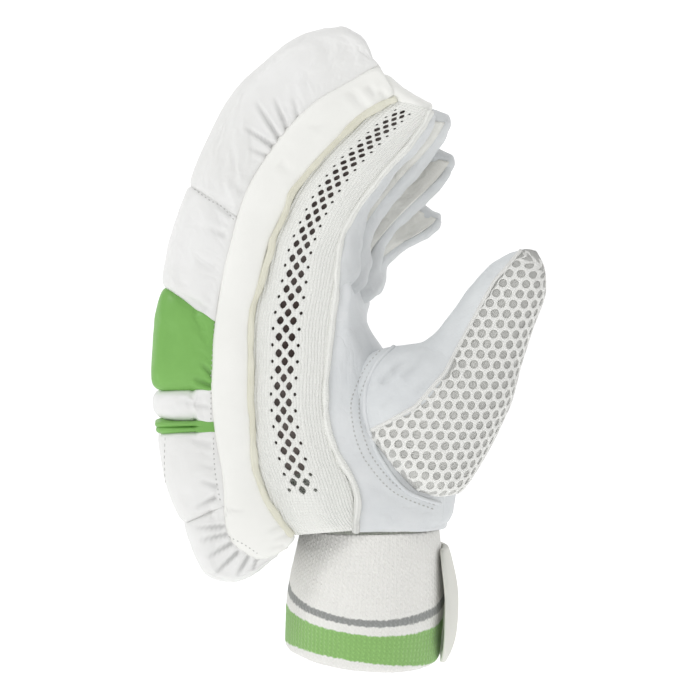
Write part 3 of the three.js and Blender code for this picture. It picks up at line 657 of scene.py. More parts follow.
class Graph:
    """A small helper that adds and links nodes of one node tree."""

    def __init__(self, tree: bpy.types.NodeTree) -> None:
        """Keeps the tree."""
        self.tree = tree

    def wire(self, made: bpy.types.Node, inputs: dict[str | int, object]) -> None:
        """Sets or links a node's inputs, by name or number.

        Args:
            made: The node.
            inputs: What each input gets, a socket or a value.
        """
        for key, value in inputs.items():
            if isinstance(value, Socket):
                self.tree.links.new(value, made.inputs[key])
            else:
                made.inputs[key].default_value = value

    def node(
        self, kind: str, inputs: dict[str | int, object] | None = None, **props: object
    ) -> bpy.types.Node:
        """Adds a node.

        Args:
            kind: The node's type.
            inputs: Values or sockets for its inputs.
            **props: Properties set on the node.

        Returns:
            The node.
        """
        made = self.tree.nodes.new(kind)
        for key, value in props.items():
            setattr(made, key, value)
        self.wire(made, inputs or {})
        return made

    def noise(self, vector: Socket, scale: float, detail: float, **more: float) -> Socket:
        """Adds a Noise Texture and returns its grey output."""
        inputs = {"Vector": vector, "Scale": scale, "Detail": detail, **more}
        return self.node("ShaderNodeTexNoise", inputs).outputs["Fac"]

    def math(self, operation: str, *values: object, clamped: bool = False) -> Socket:
        """Adds a Math node and returns its output."""
        inputs = dict(enumerate(values))
        return self.node("ShaderNodeMath", inputs, operation=operation, use_clamp=clamped).outputs[0]

    def product(self, *values: object) -> Socket:
        """Multiplies values from left to right and returns the output."""
        return functools.reduce(lambda a, b: self.math("MULTIPLY", a, b), values)

    def total(self, *values: object) -> Socket:
        """Adds values from left to right and returns the output."""
        return functools.reduce(lambda a, b: self.math("ADD", a, b), values)

    def centred(self, value: Socket) -> Socket:
        """Takes a half off a value and returns the output."""
        return self.math("SUBTRACT", value, 0.5)

    def ramp(
        self, value: Socket, low: float, high: float, to_low: float = 0.0, to_high: float = 1.0
    ) -> Socket:
        """Adds a smooth Map Range node.

        Args:
            value: The value to map.
            low: Where the ramp starts.
            high: Where it ends.
            to_low: The result at the start.
            to_high: The result at the end.

        Returns:
            The output.
        """
        inputs = {"Value": value, "From Min": low, "From Max": high, "To Min": to_low, "To Max": to_high}
        made = self.node("ShaderNodeMapRange", inputs, interpolation_type="SMOOTHSTEP")
        return made.outputs["Result"]

    def mix(self, share: object, a: object, b: object) -> Socket:
        """Adds a colour Mix node and returns its output."""
        return self.node("ShaderNodeMix", {0: share, 6: a, 7: b}, data_type="RGBA").outputs[2]


def linear(colour: tuple[int, int, int]) -> tuple[float, float, float, float]:
    """Returns an sRGB colour of 0 to 255 as linear RGBA."""
    parts = (c / 255 for c in colour)
    r, g, b = (c / 12.92 if c <= 0.04045 else ((c + 0.055) / 1.055) ** 2.4 for c in parts)
    return (r, g, b, 1.0)


def painted_shade_of(colour: tuple[int, int, int]) -> tuple[int, ...]:
    """Returns a darker tone of an sRGB colour, used as painted shade."""
    return tuple(int(c * 0.72) for c in colour)


def group_tree(name: str, inputs: dict[str, float], outputs: Sequence[str]) -> Graph:
    """Starts a shader node group with a vector input and number inputs.

    Args:
        name: The group's name.
        inputs: Name and default value of each number input.
        outputs: Name of each number output.

    Returns:
        A graph of the new group.
    """
    tree = bpy.data.node_groups.new(name, "ShaderNodeTree")
    tree.interface.new_socket("Vector", in_out="INPUT", socket_type="NodeSocketVector")
    for title, value in inputs.items():
        socket = tree.interface.new_socket(title, in_out="INPUT", socket_type="NodeSocketFloat")
        socket.default_value = value
    for title in outputs:
        tree.interface.new_socket(title, in_out="OUTPUT", socket_type="NodeSocketFloat")
    return Graph(tree)


def new_material(name: str) -> tuple[bpy.types.Material, Graph, bpy.types.Node]:
    """Returns a new material, the graph of its nodes, and its shader."""
    material = bpy.data.materials.new(name)
    material.use_nodes = True
    return material, Graph(material.node_tree), material.node_tree.nodes["Principled BSDF"]


def leather_grain() -> bpy.types.NodeTree:
    """Builds the group of leather pores, soft creases and blotches.

    Returns:
        The group, with outputs Height and Tone.
    """
    g = group_tree("leather grain", {"Pore Scale": 900.0, "Crease": 0.5}, ("Height", "Tone"))
    given = g.node("NodeGroupInput").outputs
    place = given["Vector"]
    pores = g.node("ShaderNodeTexVoronoi", {"Vector": place, "Scale": given["Pore Scale"]})
    veins = g.noise(place, 140.0, 6.0, Roughness=0.62)
    folds = g.noise(place, 38.0, 3.0, Distortion=0.6)
    ridge = g.math("ABSOLUTE", g.centred(folds))
    crease = g.product(g.ramp(ridge, 0.0, 0.06, -1.0, 0.0), given["Crease"])
    grain = g.product(g.centred(veins), 0.8)
    height = g.total(grain, g.product(pores.outputs["Distance"], 0.25), crease)
    blotch = g.noise(place, 22.0, 4.0)
    tone = g.total(g.product(blotch, 0.75), g.product(veins, 0.25))
    g.node("NodeGroupOutput", {"Height": height, "Tone": tone})
    return g.tree


def knit_stitches() -> bpy.types.NodeTree:
    """Builds the group of knit ribs and loops on a UV map in metres; its Tone follows the height, as painted
    shade in the hollows.

    Returns:
        The group, with outputs Height, Tone and Jag.
    """
    inputs = {"Wale": 0.0012, "Course": 0.001, "Rib": 0.5, "Plain": 0.0, "Slant": 0.0, "Fuzz": 0.5}
    g = group_tree("knit stitches", inputs, ("Height", "Tone", "Jag"))
    given = g.node("NodeGroupInput").outputs
    place = given["Vector"]
    parts = g.node("ShaderNodeSeparateXYZ", {0: place}).outputs
    shift = g.product(g.centred(g.noise(place, 260.0, 2.0)), 0.0009)
    wale = g.math("DIVIDE", g.total(parts["Y"], shift), given["Wale"])
    course = g.math("DIVIDE", g.total(parts["X"], shift), given["Course"])
    course = g.total(course, g.product(wale, given["Slant"]))
    wave = g.math("COSINE", g.product(wale, math.tau))
    slant = g.math("ABSOLUTE", g.centred(g.math("FRACT", wale)))
    loops = g.math("COSINE", g.product(g.total(course, g.product(slant, 1.4)), math.tau))
    aside = g.math("ABSOLUTE", parts["Y"])
    edge = g.math("SMOOTH_MIN", g.math("DIVIDE", aside, g.total(given["Plain"], 0.0001)), 1.0, 0.3)
    ribs = g.product(wave, edge, given["Rib"])
    fuzz = g.product(g.centred(g.noise(place, 1500.0, 3.0)), given["Fuzz"])
    height = g.total(ribs, g.product(loops, wave, 0.4), g.product(loops, 0.25), fuzz)
    # Painted shade: tone follows the height, darker in the hollows between ribs and loops; the fuzz adds
    # random tone.
    tone = g.math("ADD", g.product(height, 0.22), 0.5, clamped=True)
    jag = g.product(g.centred(g.noise(place, 620.0, 1.0)), 4.0)
    g.node("NodeGroupOutput", {"Height": height, "Tone": tone, "Jag": jag})
    return g.tree


@dataclass(frozen=True)
class LeatherFinish:
    """A leather or coated-cloth finish.

    Attributes: name, colour and shade in sRGB, roughness, pore scale, crease and bump strength, how far
    painted crease shade darkens the colour in a groove, depth of the grain in metres, and specular level.
    """

    name: str
    colour: tuple[int, int, int]
    shade: tuple[int, int, int]
    roughness: float = 0.5
    pore_scale: float = 1100.0
    crease: float = 0.25
    bump: float = 0.12
    crease_shade_tone: float = 0.45
    grain_depth: float = 0.0006
    specular: float = 0.4

    def build(self) -> bpy.types.Material:
        """Builds the material.

        Returns:
            The material.
        """
        material, g, shader = new_material(self.name)
        place = g.node("ShaderNodeTexCoord").outputs["Object"]
        grain = g.node("ShaderNodeGroup", node_tree=GROUPS["leather"])
        g.wire(grain, {"Vector": place, "Pore Scale": self.pore_scale, "Crease": self.crease})
        tone = g.ramp(grain.outputs["Tone"], 0.3, 0.7)
        colour = g.mix(tone, linear(self.shade), linear(self.colour))
        # Painted shade in the creases: the colour is darkened where the groove attribute is high.
        groove = g.node("ShaderNodeAttribute", attribute_name="groove").outputs["Fac"]
        colour = g.mix(g.product(groove, self.crease_shade_tone), colour, linear(painted_shade_of(self.shade)))
        rough = g.ramp(grain.outputs["Tone"], 0.2, 0.8, self.roughness - 0.06, self.roughness + 0.07)
        relief = {"Height": grain.outputs["Height"], "Strength": self.bump, "Distance": self.grain_depth}
        bump = g.node("ShaderNodeBump", relief).outputs[0]
        g.wire(shader, {"Base Color": colour, "Roughness": rough, "Normal": bump})
        shader.inputs["Specular IOR Level"].default_value = self.specular
        return material


@dataclass(frozen=True)
class KnitFinish:
    """A knit finish on the cloth UV map.

    Attributes: name, colour and the painted shade colour of the knit's hollows in sRGB, wale and course in
    metres, rib height, bump strength, slant of the courses, height of the fuzz, half width in metres of the
    plain middle without ribs, cross stripes with low, high and colour, and in metres the depth of the
    loops, the step of a stripe's edge and half its softness.
    """

    name: str
    colour: tuple[int, int, int]
    shade: tuple[int, int, int]
    wale: float = 0.0013
    course: float = 0.0010
    rib: float = 0.7
    bump: float = 0.6
    slant: float = 0.0
    fuzz: float = 0.5
    plain: float = 0.0
    stripes: tuple[tuple[float, float, tuple[int, int, int]], ...] = ()
    loop_depth: float = 0.0005
    stripe_step: float = 0.00035
    stripe_edge: float = 0.0004

    def build(self) -> bpy.types.Material:
        """Builds the material.

        Returns:
            The material.
        """
        material, g, shader = new_material(self.name)
        cloth = g.node("ShaderNodeUVMap", uv_map="cloth").outputs[0]
        knit = g.node("ShaderNodeGroup", node_tree=GROUPS["knit"])
        g.wire(knit, {"Vector": cloth, "Wale": self.wale, "Course": self.course, "Rib": self.rib})
        g.wire(knit, {"Plain": self.plain, "Slant": self.slant, "Fuzz": self.fuzz})
        light, dark = self._striped(g, cloth, knit.outputs["Jag"])
        # Painted shade: the colour darkens with the knit's low places.
        colour = g.mix(knit.outputs["Tone"], dark, light)
        relief = {"Height": knit.outputs["Height"], "Strength": self.bump, "Distance": self.loop_depth}
        bump = g.node("ShaderNodeBump", relief).outputs[0]
        g.wire(shader, {"Base Color": colour, "Normal": bump, "Roughness": 0.92})
        g.wire(shader, {"Specular IOR Level": 0.15, "Sheen Weight": 0.25, "Sheen Roughness": 0.5})
        return material

    def _striped(self, g: Graph, cloth: Socket, jag: Socket) -> tuple[object, object]:
        """Adds the cross stripes, if there are any.

        Args:
            g: The material's graph.
            cloth: The UV coordinates in metres.
            jag: The loops' wave, which makes the stripe edges step.

        Returns:
            The light colour and the painted shade colour.
        """
        light: object = linear(self.colour)
        dark: object = linear(self.shade)
        height = g.node("ShaderNodeSeparateXYZ", {0: cloth}).outputs["X"]
        height = g.total(height, g.product(jag, self.stripe_step))
        soft = self.stripe_edge
        for low, high, colour in self.stripes:
            above = g.ramp(height, low - soft, low + soft)
            inside = g.product(above, g.ramp(height, high - soft, high + soft, 1.0, 0.0))
            light = g.mix(inside, light, linear(colour))
            # The stripe's painted shade for the knit's hollows.
            dark = g.mix(inside, dark, linear(painted_shade_of(colour)))
        return light, dark


class Finish(Enum):
    """The glove's finishes."""

    ROLL = LeatherFinish("white roll", (232, 232, 231), (226, 226, 224), 0.46, 1500, 0.06, 0.08)
    ACCENT = LeatherFinish("green roll", (124, 179, 91), (116, 171, 85), 0.42, 1500, 0.06, 0.08)
    SHELL = LeatherFinish("white shell", (240, 240, 236), (234, 234, 230), 0.52, 1300, 0.05, 0.08)
    PALM = LeatherFinish("palm leather", (222, 224, 225), (210, 213, 215), 0.62, 1000, 0.6, 0.4)
    THUMB = LeatherFinish("thumb leather", (220, 223, 224), (209, 212, 214), 0.6, 1000, 0.6, 0.4)
    # Painted shade: the finger fronts are a darker copy of the palm leather, for the shade between the
    # fingers.
    FRONT = LeatherFinish("finger leather with painted shade", (216, 218, 219), (199, 202, 203), 0.62, 1000, 0.7, 0.5)
    STRAP = LeatherFinish("strap", (222, 222, 215), (214, 214, 206), 0.6, 1300, 0.05, 0.08)
    BINDING = LeatherFinish("cream binding", (229, 228, 214), (212, 210, 192), 0.8, 2200, 0.4, 0.5)
    THREAD = LeatherFinish("thread", (196, 197, 194), (176, 177, 174), 0.8, 4000, 0.0, 0.2)
    # Painted shadow: the lining is coloured dark for the shade inside the glove seen through the holes.
    SHADOWED_LINING = LeatherFinish("lining with painted shadow", (140, 132, 128), (74, 58, 54), 0.95, 900, 0.0, 0.3)
    # Each knit finish's second colour is painted shade for the hollows of its loops.
    KNIT = KnitFinish(
        "white knit", (252, 252, 248), (229, 230, 225), 0.0013, 0.0012, 0.9, 0.6, 0.0, 0.5, 0.009
    )
    WARM_CLOTH = LeatherFinish("finger wall cloth", (238, 238, 233), (216, 215, 209), 0.8, 1600, 0.8, 0.6)
    CUFF = KnitFinish(
        "striped towelling",
        (251, 250, 247),
        (226, 225, 220),
        0.0024,
        0.0018,
        0.4,
        0.6,
        1.0,
        1.6,
        0.0,
        ((0.0004, 0.0122, (164, 216, 128)), (0.0160, 0.0190, (172, 174, 172))),
    )
    SPACER = KnitFinish("spacer mesh", (255, 255, 252), (234, 234, 230), 0.0009, 0.0009, 0.5, 0.6)
    # Painted shade: the ground under the net is coloured darker for the shade in the mesh cells.
    SHADED_SPACER_GROUND = KnitFinish("spacer ground with painted shade", (236, 236, 232), (196, 196, 192), 0.0011, 0.0011, 0.9, 0.7)


GROUPS: dict[str, bpy.types.NodeTree] = {}
BUILT: dict[str, bpy.types.Material] = {}


def dress(piece: bpy.types.Object, finish: LeatherFinish | KnitFinish | Finish) -> None:
    """Gives a piece its one material.

    Args:
        piece: The piece to dress.
        finish: Its finish.
    """
    chosen = finish.value if isinstance(finish, Finish) else finish
    if chosen.name not in BUILT:
        BUILT[chosen.name] = chosen.build()
    piece.data.materials.clear()
    piece.data.materials.append(BUILT[chosen.name])


# Padded rolls

# Rolls from foot to tip: name, first and last station at the seam and at the crown, finish, slot.
ROLL_ROWS = (
    ("hem", 0.3, 4.42, 1.0, 3.95, Finish.ROLL, "roll_white"),
    ("wrist", 4.46, 6.3, 4.0, 6.18, Finish.ROLL, "roll_white"),
    ("piping_lower", 6.33, 6.44, 6.21, 6.335, Finish.ACCENT, "roll_green"),
    ("piping_upper", 6.45, 6.56, 6.345, 6.47, Finish.ACCENT, "roll_green"),
    ("knuckle", 6.59, 7.3, 6.5, 7.24, Finish.ROLL, "roll_white"),
    ("accent", 7.33, 9.0, 7.28, 9.85, Finish.ACCENT, "roll_green"),
    ("mid", 9.04, 11.66, 9.9, 12.26, Finish.ROLL, "roll_white"),
    ("tip", 11.7, float(TIP), 12.3, float(TIP), Finish.ROLL, "roll_white"),
)


@dataclass
class PaddedRoll:
    """One stuffed roll of one finger."""

    finger: Finger
    name: str
    seam: tuple[float, float]
    crown: tuple[float, float]
    finish: Finish
    slot: str
    tip_drop: float = 0.0
    sink: float = 1.2
    press: float = 0.05
    corner: float = 0.26
    belly: float = 0.05

    def place(self, a: float, b: float, c: float) -> Vector:
        """Returns the place in mm of a pad coordinate: along, across and up."""
        t = (a + 1) / 2
        pressed = self.press * a
        foot = SHAPE.point(self.finger, Line.SEAM, lerp(*self.seam, t) + pressed)
        top = SHAPE.point(self.finger, Line.CROWN, lerp(*self.crown, t) + pressed)
        height = np.linalg.norm(top - foot)
        up = (top - foot) / height
        height *= 1 - self.tip_drop * smoothstep(t, 0.88, 1.0)
        rise = (c + 1) / 2 * (height + self.sink) - self.sink
        x, z = foot + up * rise
        half = (self.finger.half(lerp(*self.seam, t)) - CLEARANCE) * (1 + self.belly * (1 - c * c))
        return Vector((x, self.finger.centre + b * half, z))

    def build(self) -> bpy.types.Object:
        """Builds, puffs and dresses the roll.

        Returns:
            The new piece.
        """
        start, end = (SHAPE.point(self.finger, Line.SEAM, s) for s in self.seam)
        length = float(np.linalg.norm(end - start))
        node = self.name.split("_")[0]
        fine = 1.5 if self.finger is INDEX else 0.5
        end_power = clamp(self.corner * length, 3.0, 16.0)
        span = PadSpan(max(6, int(length * fine)), 14, int(12 + 16 * fine), end_power, 3.0, 12.0, 40.0)
        piece = finished(pad_mesh(span, self.place), f"{self.finger.name}_{self.name}_pad")
        if node != "piping":
            Stuffing().fill(piece)
        seed = self.finger.number * 3.1 + len(self.name)
        creases = ROLL_CREASES.get(self.name, ()) if self.finger is INDEX else ()
        wrinkle(piece, lambda p: 0.7 * ripple(p, 18, seed) + 0.16 * ripple(p, 5, seed), creases)
        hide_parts(f"{self.finger.name}_roll_{node}")
        dress(piece, self.finish)
        smooth_over(piece, 1)
        return piece


# Creases of the index rolls. Columns: start and end in XZ mm, depth, half width.
ROLL_CREASES = {
    "tip": (
        Crease((-36, 215), (-51, 225), 1.8, 0.85),
        Crease((-34.5, 218), (-46, 236), 1.8, 0.85),
        Crease((-31.5, 222), (-38, 238), 1.5, 0.85),
        Crease((-38, 211), (-49, 216), 1.1, 0.85),
        Crease((-27, 227), (-30, 238), 0.9, 0.9),
        Crease((-56, 189), (-72, 197), 0.8, 1.6),
        Crease((-50, 196), (-58, 203), 0.5, 1.6),
    ),
    "mid": (
        Crease((-55.5, 186), (-64, 193), 0.9, 1.0),
        Crease((-58, 178), (-68, 182), 0.6, 1.2),
        Crease((-66, 146), (-75, 151), 0.7, 1.2),
        Crease((-62, 165), (-72, 168), 0.4, 1.6),
    ),
    "accent": (
        Crease((-64, 113), (-73, 117), 1.4, 0.9),
        Crease((-63.5, 117), (-70, 124), 1.2, 0.9),
        Crease((-64, 110.5), (-72, 111.5), 1.0, 0.8),
    ),
    "knuckle": (Crease((-65, 104), (-78, 107), 0.7, 1.0),),
    "wrist": (
        Crease((-62, 66), (-72, 61), 1.3, 1.0),
        Crease((-61.5, 70), (-70, 73), 1.0, 1.0),
        Crease((-64, 88), (-76, 91), 0.7, 1.2),
        Crease((-63, 78), (-72, 80), 0.5, 1.4),
    ),
    "hem": (
        Crease((-58, 53), (-72, 52.5), 1.6, 0.85),
        Crease((-57, 50), (-70, 47), 1.8, 0.85),
        Crease((-55, 46.5), (-67, 39.5), 1.8, 0.85),
        Crease((-52.5, 43), (-64, 32), 1.8, 0.85),
        Crease((-48.5, 41), (-54, 31.5), 1.6, 0.85),
        Crease((-45, 40), (-47, 34), 1.3, 0.6),
    ),
}


@dataclass
class RollBack:
    """All padded rolls on the back of the hand and fingers."""

    rows: Sequence[tuple[str, float, float, float, float, Finish, str]] = ROLL_ROWS
    tip_drop: float = 0.22

    def build(self) -> None:
        """Builds each finger's rolls and reports them."""
        for finger in FINGERS:
            for name, seam0, seam1, crown0, crown1, finish, slot in self.rows:
                if crown1 == TIP:
                    crown1 = TIP - finger.short
                drop = self.tip_drop if name == "tip" else 0.0
                roll = PaddedRoll(finger, name, (seam0, seam1), (crown0, crown1), finish, slot, drop)
                piece = roll.build()
                LOG.info("roll %s with %d faces", piece.name, len(piece.data.polygons))


# Shell

@dataclass
class SideBand:
    """The padded side band of the shell along one side of a finger, from its seam to the knit."""

    finger: Finger
    side: int
    start: float = 0.15
    over: float = 0.12
    rounding: float = 0.3
    thickness: float = 3.4
    bulge: float = 1.5

    def place(self, a: float, b: float, c: float) -> Vector:
        """Returns the place in mm of a pad coordinate: along, from seam to wall, and outwards."""
        rounded = self.rounding * abs(b) ** 3
        station = lerp(self.start + rounded, TIP + self.over - rounded, (a + 1) / 2)
        seam = SHAPE.at(self.finger, Line.SEAM, station, 0)
        wall = SHAPE.at(self.finger, Line.WALL, station, 0)
        spot = seam.lerp(wall, (b + 1) / 2)
        crown = self.bulge * (1 - b * b)
        out = lerp(-self.thickness, 0.2 + crown, (c + 1) / 2)
        spot.y = self.finger.side(station, self.side) + self.side * out
        return spot

    def build(self) -> bpy.types.Object:
        """Builds and dresses the band.

        Returns:
            The new piece.
        """
        mesh = pad_mesh(PadSpan(170, 16, 4, 30.0, 8.0, 8.0), self.place)
        which = "near" if self.side < 0 else "far"
        piece = finished(mesh, f"{self.finger.name}_band_{which}")
        seed = 7.0 + self.side
        creases = BAND_CREASES if self.side < 0 else ()
        wrinkle(piece, lambda p: 0.7 * ripple(p, 24, seed) + 0.2 * ripple(p, 8, seed), creases)
        dress(piece, Finish.SHELL)
        smooth_over(piece, 1)
        return piece


# Creases of the near side band.
BAND_CREASES = (
    Crease((-30, 55), (-41, 51), 1.0, 1.2),
    Crease((-28, 51), (-39, 47), 0.8, 1.2),
    Crease((-60, 60), (-50, 60), 0.6, 0.9),
    Crease((-33, 45), (-40, 44), 0.6, 1.1),
    Crease((-36, 210), (-30, 204), 0.7, 1.6),
    Crease((2, 243), (10, 232), 1.1, 1.3),
    Crease((7, 241), (14, 232), 1.1, 1.2),
    Crease((-6, 241), (5, 229), 0.9, 1.6),
    Crease((-22, 224), (-12, 228), 0.6, 2.0),
)


@dataclass
class BackShell:
    """The shell over the back: a plate under the rolls, side bands and closed fingertips."""

    wall: float = 2.4
    plate_inset: float = 1.5
    strip_inset: float = 1.2
    tip_rounding: int = 8
    tip_depth: float = 9.0
    tip_reach: float = 1.7
    nub_height: float = 1.2
    gathers: float = 0.35

    def build(self) -> None:
        """Builds the shell's pieces, which together stand for its solid."""
        for finger in FINGERS:
            if finger in OUTER_SIDES:
                band = SideBand(finger, OUTER_SIDES[finger]).build()
                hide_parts(f"{finger.name}_side_band")
            self._strip(finger)
            self._tip(finger)
        self._plate()
        LOG.info("shell built")

    def _plate(self) -> None:
        """Builds the plate under the rolls of the hand."""

        def place(u: float, v: float) -> Vector:
            """Returns the plate's outer face."""
            station = lerp(0.05, CROTCH, u)
            y = across_hand(station, self.plate_inset, v)
            low, share = column_at(y)
            near, far = (SHAPE.point(f, Line.SEAM, station) for f in FINGERS[low:low + 2])
            x, z = near + (far - near) * smoothstep(share, 0.3, 0.7)
            return Vector((x, y, z))

        mesh = grid_mesh(44, 40, place, flat_cloth(150, 100))
        face_out(mesh, Vector((-1, 0, 0)))
        Panel(self.wall).make(mesh, "back_plate", Finish.SHELL, "shell_white", "back_shell")

    def _strip(self, finger: Finger) -> None:
        """Builds the strip under a finger's rolls.

        Args:
            finger: The finger.
        """

        def place(u: float, v: float) -> Vector:
            """Returns the strip's outer face."""
            station = lerp(CROTCH - 0.2, TIP + 0.1, u)
            inset = self.strip_inset
            y = lerp(finger.side(station, -1) + inset, finger.side(station, 1) - inset, v)
            return SHAPE.at(finger, Line.SEAM, station, y)

        mesh = grid_mesh(30, 8, place, flat_cloth(90, 22))
        face_out(mesh, Vector((-1, 0, 1)))
        name, node = f"{finger.name}_strip", f"{finger.name}_shell"
        Panel(self.wall).make(mesh, name, Finish.SHELL, "shell_white", node)

    def _tip(self, finger: Finger) -> None:
        """Builds the rounded cap that closes a fingertip.

        Args:
            finger: The finger.
        """
        lines = (Line.SEAM, Line.WALL, Line.GUSSET, Line.FRONT)
        rib = [SHAPE.at(finger, line, TIP, finger.centre) for line in lines]
        spine = np.array([tuple(p) for p in rib])
        seam, front = rib[0], rib[-1]
        edge = (front - seam).normalized()
        ahead = Vector((-edge.z, 0, edge.x))
        half = finger.half(TIP) + (1.2 if finger in (MIDDLE, RING) else 0.4)
        reach = 0.8 if finger is INDEX else 0.98

        def place(a: float, b: float, c: float) -> Vector:
            """Returns the cap's surface: from the seam to the front, across, and outwards."""
            share = (a * reach + 1) / 2
            spot = Vector(catmull(spine, share * 3)).lerp(seam.lerp(front, share), 0.7)
            nub = self.nub_height * hump(a, 0.75, 0.22)
            out = lerp(-self.tip_depth, self.tip_reach + nub, (c + 1) / 2) * (1 - 0.25 * b * b)
            return spot + ahead * out + Vector((0, b * half, 0))

        mesh = pad_mesh(PadSpan(40, 20, 16, 3.4, 2.4, 2.8), place)
        for _ in range(self.tip_rounding):
            bmesh.ops.smooth_vert(mesh, verts=mesh.verts, factor=0.5)
        squeeze = Vector((1, 0.5, 1))
        push_along_normals(mesh, lambda p: self.gathers * ripple(p * squeeze, 4.5, finger.number))
        piece = finished(mesh, f"{finger.name}_tip_cap")
        # The other fingers' caps take the finger leather with its painted shade.
        dress(piece, Finish.SHELL if finger is INDEX else Finish.FRONT)
        smooth_over(piece, 1)
        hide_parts(f"{finger.name}_shell")


# Knit walls

@dataclass
class KnitWall:
    """The ribbed knit wall between the side band and the palm leather, pierced on the near side."""

    finger: Finger
    side: int
    pierced: bool
    columns: int = 24
    foot: float = 0.45
    hole_line: float = 0.44
    hole_first: float = 4.7
    hole_last: float = 16.4
    gap: float = 1.27
    pitch: float = 6.7
    tip_pitch: float = 4.5
    thickness: float = 0.9
    bulge: float = 2.2
    straight: int = 4
    wide: float = 1.45
    narrow: float = 0.6
    lining_sink: float = 2.2

    def __post_init__(self) -> None:
        """Works out the rows, a quarter of a hole pitch apart."""
        fine = np.linspace(self.foot, TIP - 0.04, 500)
        middles = np.array([self._middle(s) for s in fine])
        arc = arc_lengths(middles)
        rows = [0.0]
        while rows[-1] < arc[-1]:
            share = smoothstep(rows[-1] / arc[-1], 0.4, 1.0)
            rows.append(rows[-1] + lerp(self.pitch, self.tip_pitch, share) / 4)
        self.arc = np.array(rows) * arc[-1] / rows[-1]
        self.stations = np.interp(self.arc, arc, fine)

    def _edges(self, station: float) -> tuple[np.ndarray, np.ndarray]:
        """Returns x and z of the wall's back and palm edge at a station."""
        return tuple(SHAPE.point(self.finger, line, station) for line in (Line.WALL, Line.GUSSET))

    def _middle(self, station: float) -> np.ndarray:
        """Returns the hole line's x and z at a station."""
        wall, end = self._edges(station)
        return wall + (end - wall) * self.hole_line

    def _station(self, u: float) -> float:
        """Returns the station at a share of the rows."""
        rows = len(self.stations)
        return float(np.interp(u * (rows - 1), range(rows), self.stations))

    def _across(self, station: float, v: float) -> tuple[float, float]:
        """Works out where a column lies.

        Args:
            station: The station.
            v: Share of the columns, from the back to the palm.

        Returns:
            The distance from the hole line in mm, and the share of the wall's width.
        """
        wall, end = self._edges(station)
        width = float(np.linalg.norm(end - wall))
        gap = self.gap * clamp(width / GUSSET_DEPTH, 0.6, 1.05)
        column = (v - 0.5) * self.columns
        if abs(column) <= self.straight:
            distance = column * gap
        else:
            edge = -self.hole_line * width if column < 0 else (1 - self.hole_line) * width
            start = math.copysign(self.straight * gap, column)
            share = (abs(column) - self.straight) / (self.columns / 2 - self.straight)
            distance = lerp(start, edge, share)
        return distance, self.hole_line + distance / width

    def place(self, u: float, v: float, sink: float = 0.0) -> Vector:
        """Works out a point of the wall's outer face.

        Args:
            u: Share of the rows.
            v: Share of the columns.
            sink: How far the point lies inside, in mm.

        Returns:
            The point in mm.
        """
        station = self._station(u)
        _, share = self._across(station, v)
        wall, end = self._edges(station)
        x, z = wall + (end - wall) * share
        fade = smoothstep(station, 0.3, 2.5) * (1 - 0.5 * smoothstep(station, 14, TIP))
        out = self.bulge * math.sin(math.pi * clamp(share)) ** 0.8 * fade - 0.8
        spot = Vector((x, self.finger.side(station, self.side), z))
        out += 0.5 * ripple(spot, 17, 4.0) * fade - 1.2 * smoothstep(share, 0.93, 1.0) ** 2
        return spot + Vector((0, self.side * (out - sink), 0))

    def cloth(self, u: float, v: float) -> Vector:
        """Returns the place on the flat knit: along it, and across from the hole line."""
        along = np.interp(u * (len(self.arc) - 1), range(len(self.arc)), self.arc)
        return Vector((float(along), self._across(self._station(u), v)[0], 0))

    def build(self) -> None:
        """Builds the wall, with its holes where it is pierced."""
        mesh = grid_mesh(len(self.stations) - 1, self.columns, self.place, self.cloth)
        face_out(mesh, Vector((0, self.side, 0)))
        if self.pierced:
            self._pierce(mesh)
        name, node = f"{self.finger.name}_knit_wall", f"{self.finger.name}_gusset"
        Panel(self.thickness, smooth=1).make(mesh, name, Finish.KNIT, "knit_white", node)

    def _pierce(self, mesh: bmesh.types.BMesh) -> None:
        """Cuts a diamond round each hole's middle vertex, in three staggered columns and a fine one outside.

        Args:
            mesh: The wall's grid, whose vertices know their row and column.
        """
        sharp = mesh.verts.layers.float.new("crease_vert")
        row = mesh.verts.layers.int["row"]
        column = mesh.verts.layers.int["column"]
        middle = self.columns // 2
        holes = []
        for vert in mesh.verts:
            if not self.hole_first < self.stations[vert[row]] < self.hole_last:
                continue
            offset = abs(vert[column] - middle)
            if (offset == 0 and vert[row] % 4 == 0) or (offset == 2 and vert[row] % 4 == 2):
                holes.append((vert, self.wide))
            elif offset == 4 and vert[row] % 4 == 0:
                holes.append((vert, self.narrow))
        for vert, widen in holes:
            for edge in vert.link_edges:
                corner = edge.other_vert(vert)
                corner[sharp] = 1.0
                corner.co = vert.co + (corner.co - vert.co) * widen
            for face in list(vert.link_faces):
                ring = [e.other_vert(vert) for e in vert.link_edges if face in e.link_faces]
                if len(ring) == 2:
                    bmesh.utils.face_split(face, ring[0], ring[1])
        bmesh.ops.delete(mesh, geom=[vert for vert, _ in holes], context="VERTS")

    def lining(self) -> None:
        """Builds the cloth behind the holes, painted dark as the shadow inside the glove."""

        def place(u: float, v: float) -> Vector:
            """Returns the lining's face behind the hole columns."""
            return self.place(lerp(0.12, 0.97, u), lerp(0.16, 0.84, v), self.lining_sink)

        mesh = grid_mesh(90, 10, place, flat_cloth(200, 14))
        face_out(mesh, Vector((0, self.side, 0)))
        Panel(0.6).make(mesh, "side_lining", Finish.SHADOWED_LINING, "lining_dark", "gusset_lining")


def finger_folds(position: Vector, seed: float) -> float:
    """Works out folds that run along the bent fingers.

    Args:
        position: The place in mm.
        seed: Shifts the pattern.

    Returns:
        The height, from -1 to 1.
    """
    a = math.radians(50)
    axis = Vector((math.cos(a), 0, math.sin(a)))
    along, across = position.dot(axis), position.dot(Vector((-axis.z, 0, axis.x)))
    long_fold = ripple(Vector((along / 5, position.y / 3, across)), 5.0, seed)
    joint = ripple(Vector((along, position.y / 2, across / 3)), 6.0, seed + 5)
    return 0.75 * long_fold + 0.35 * joint


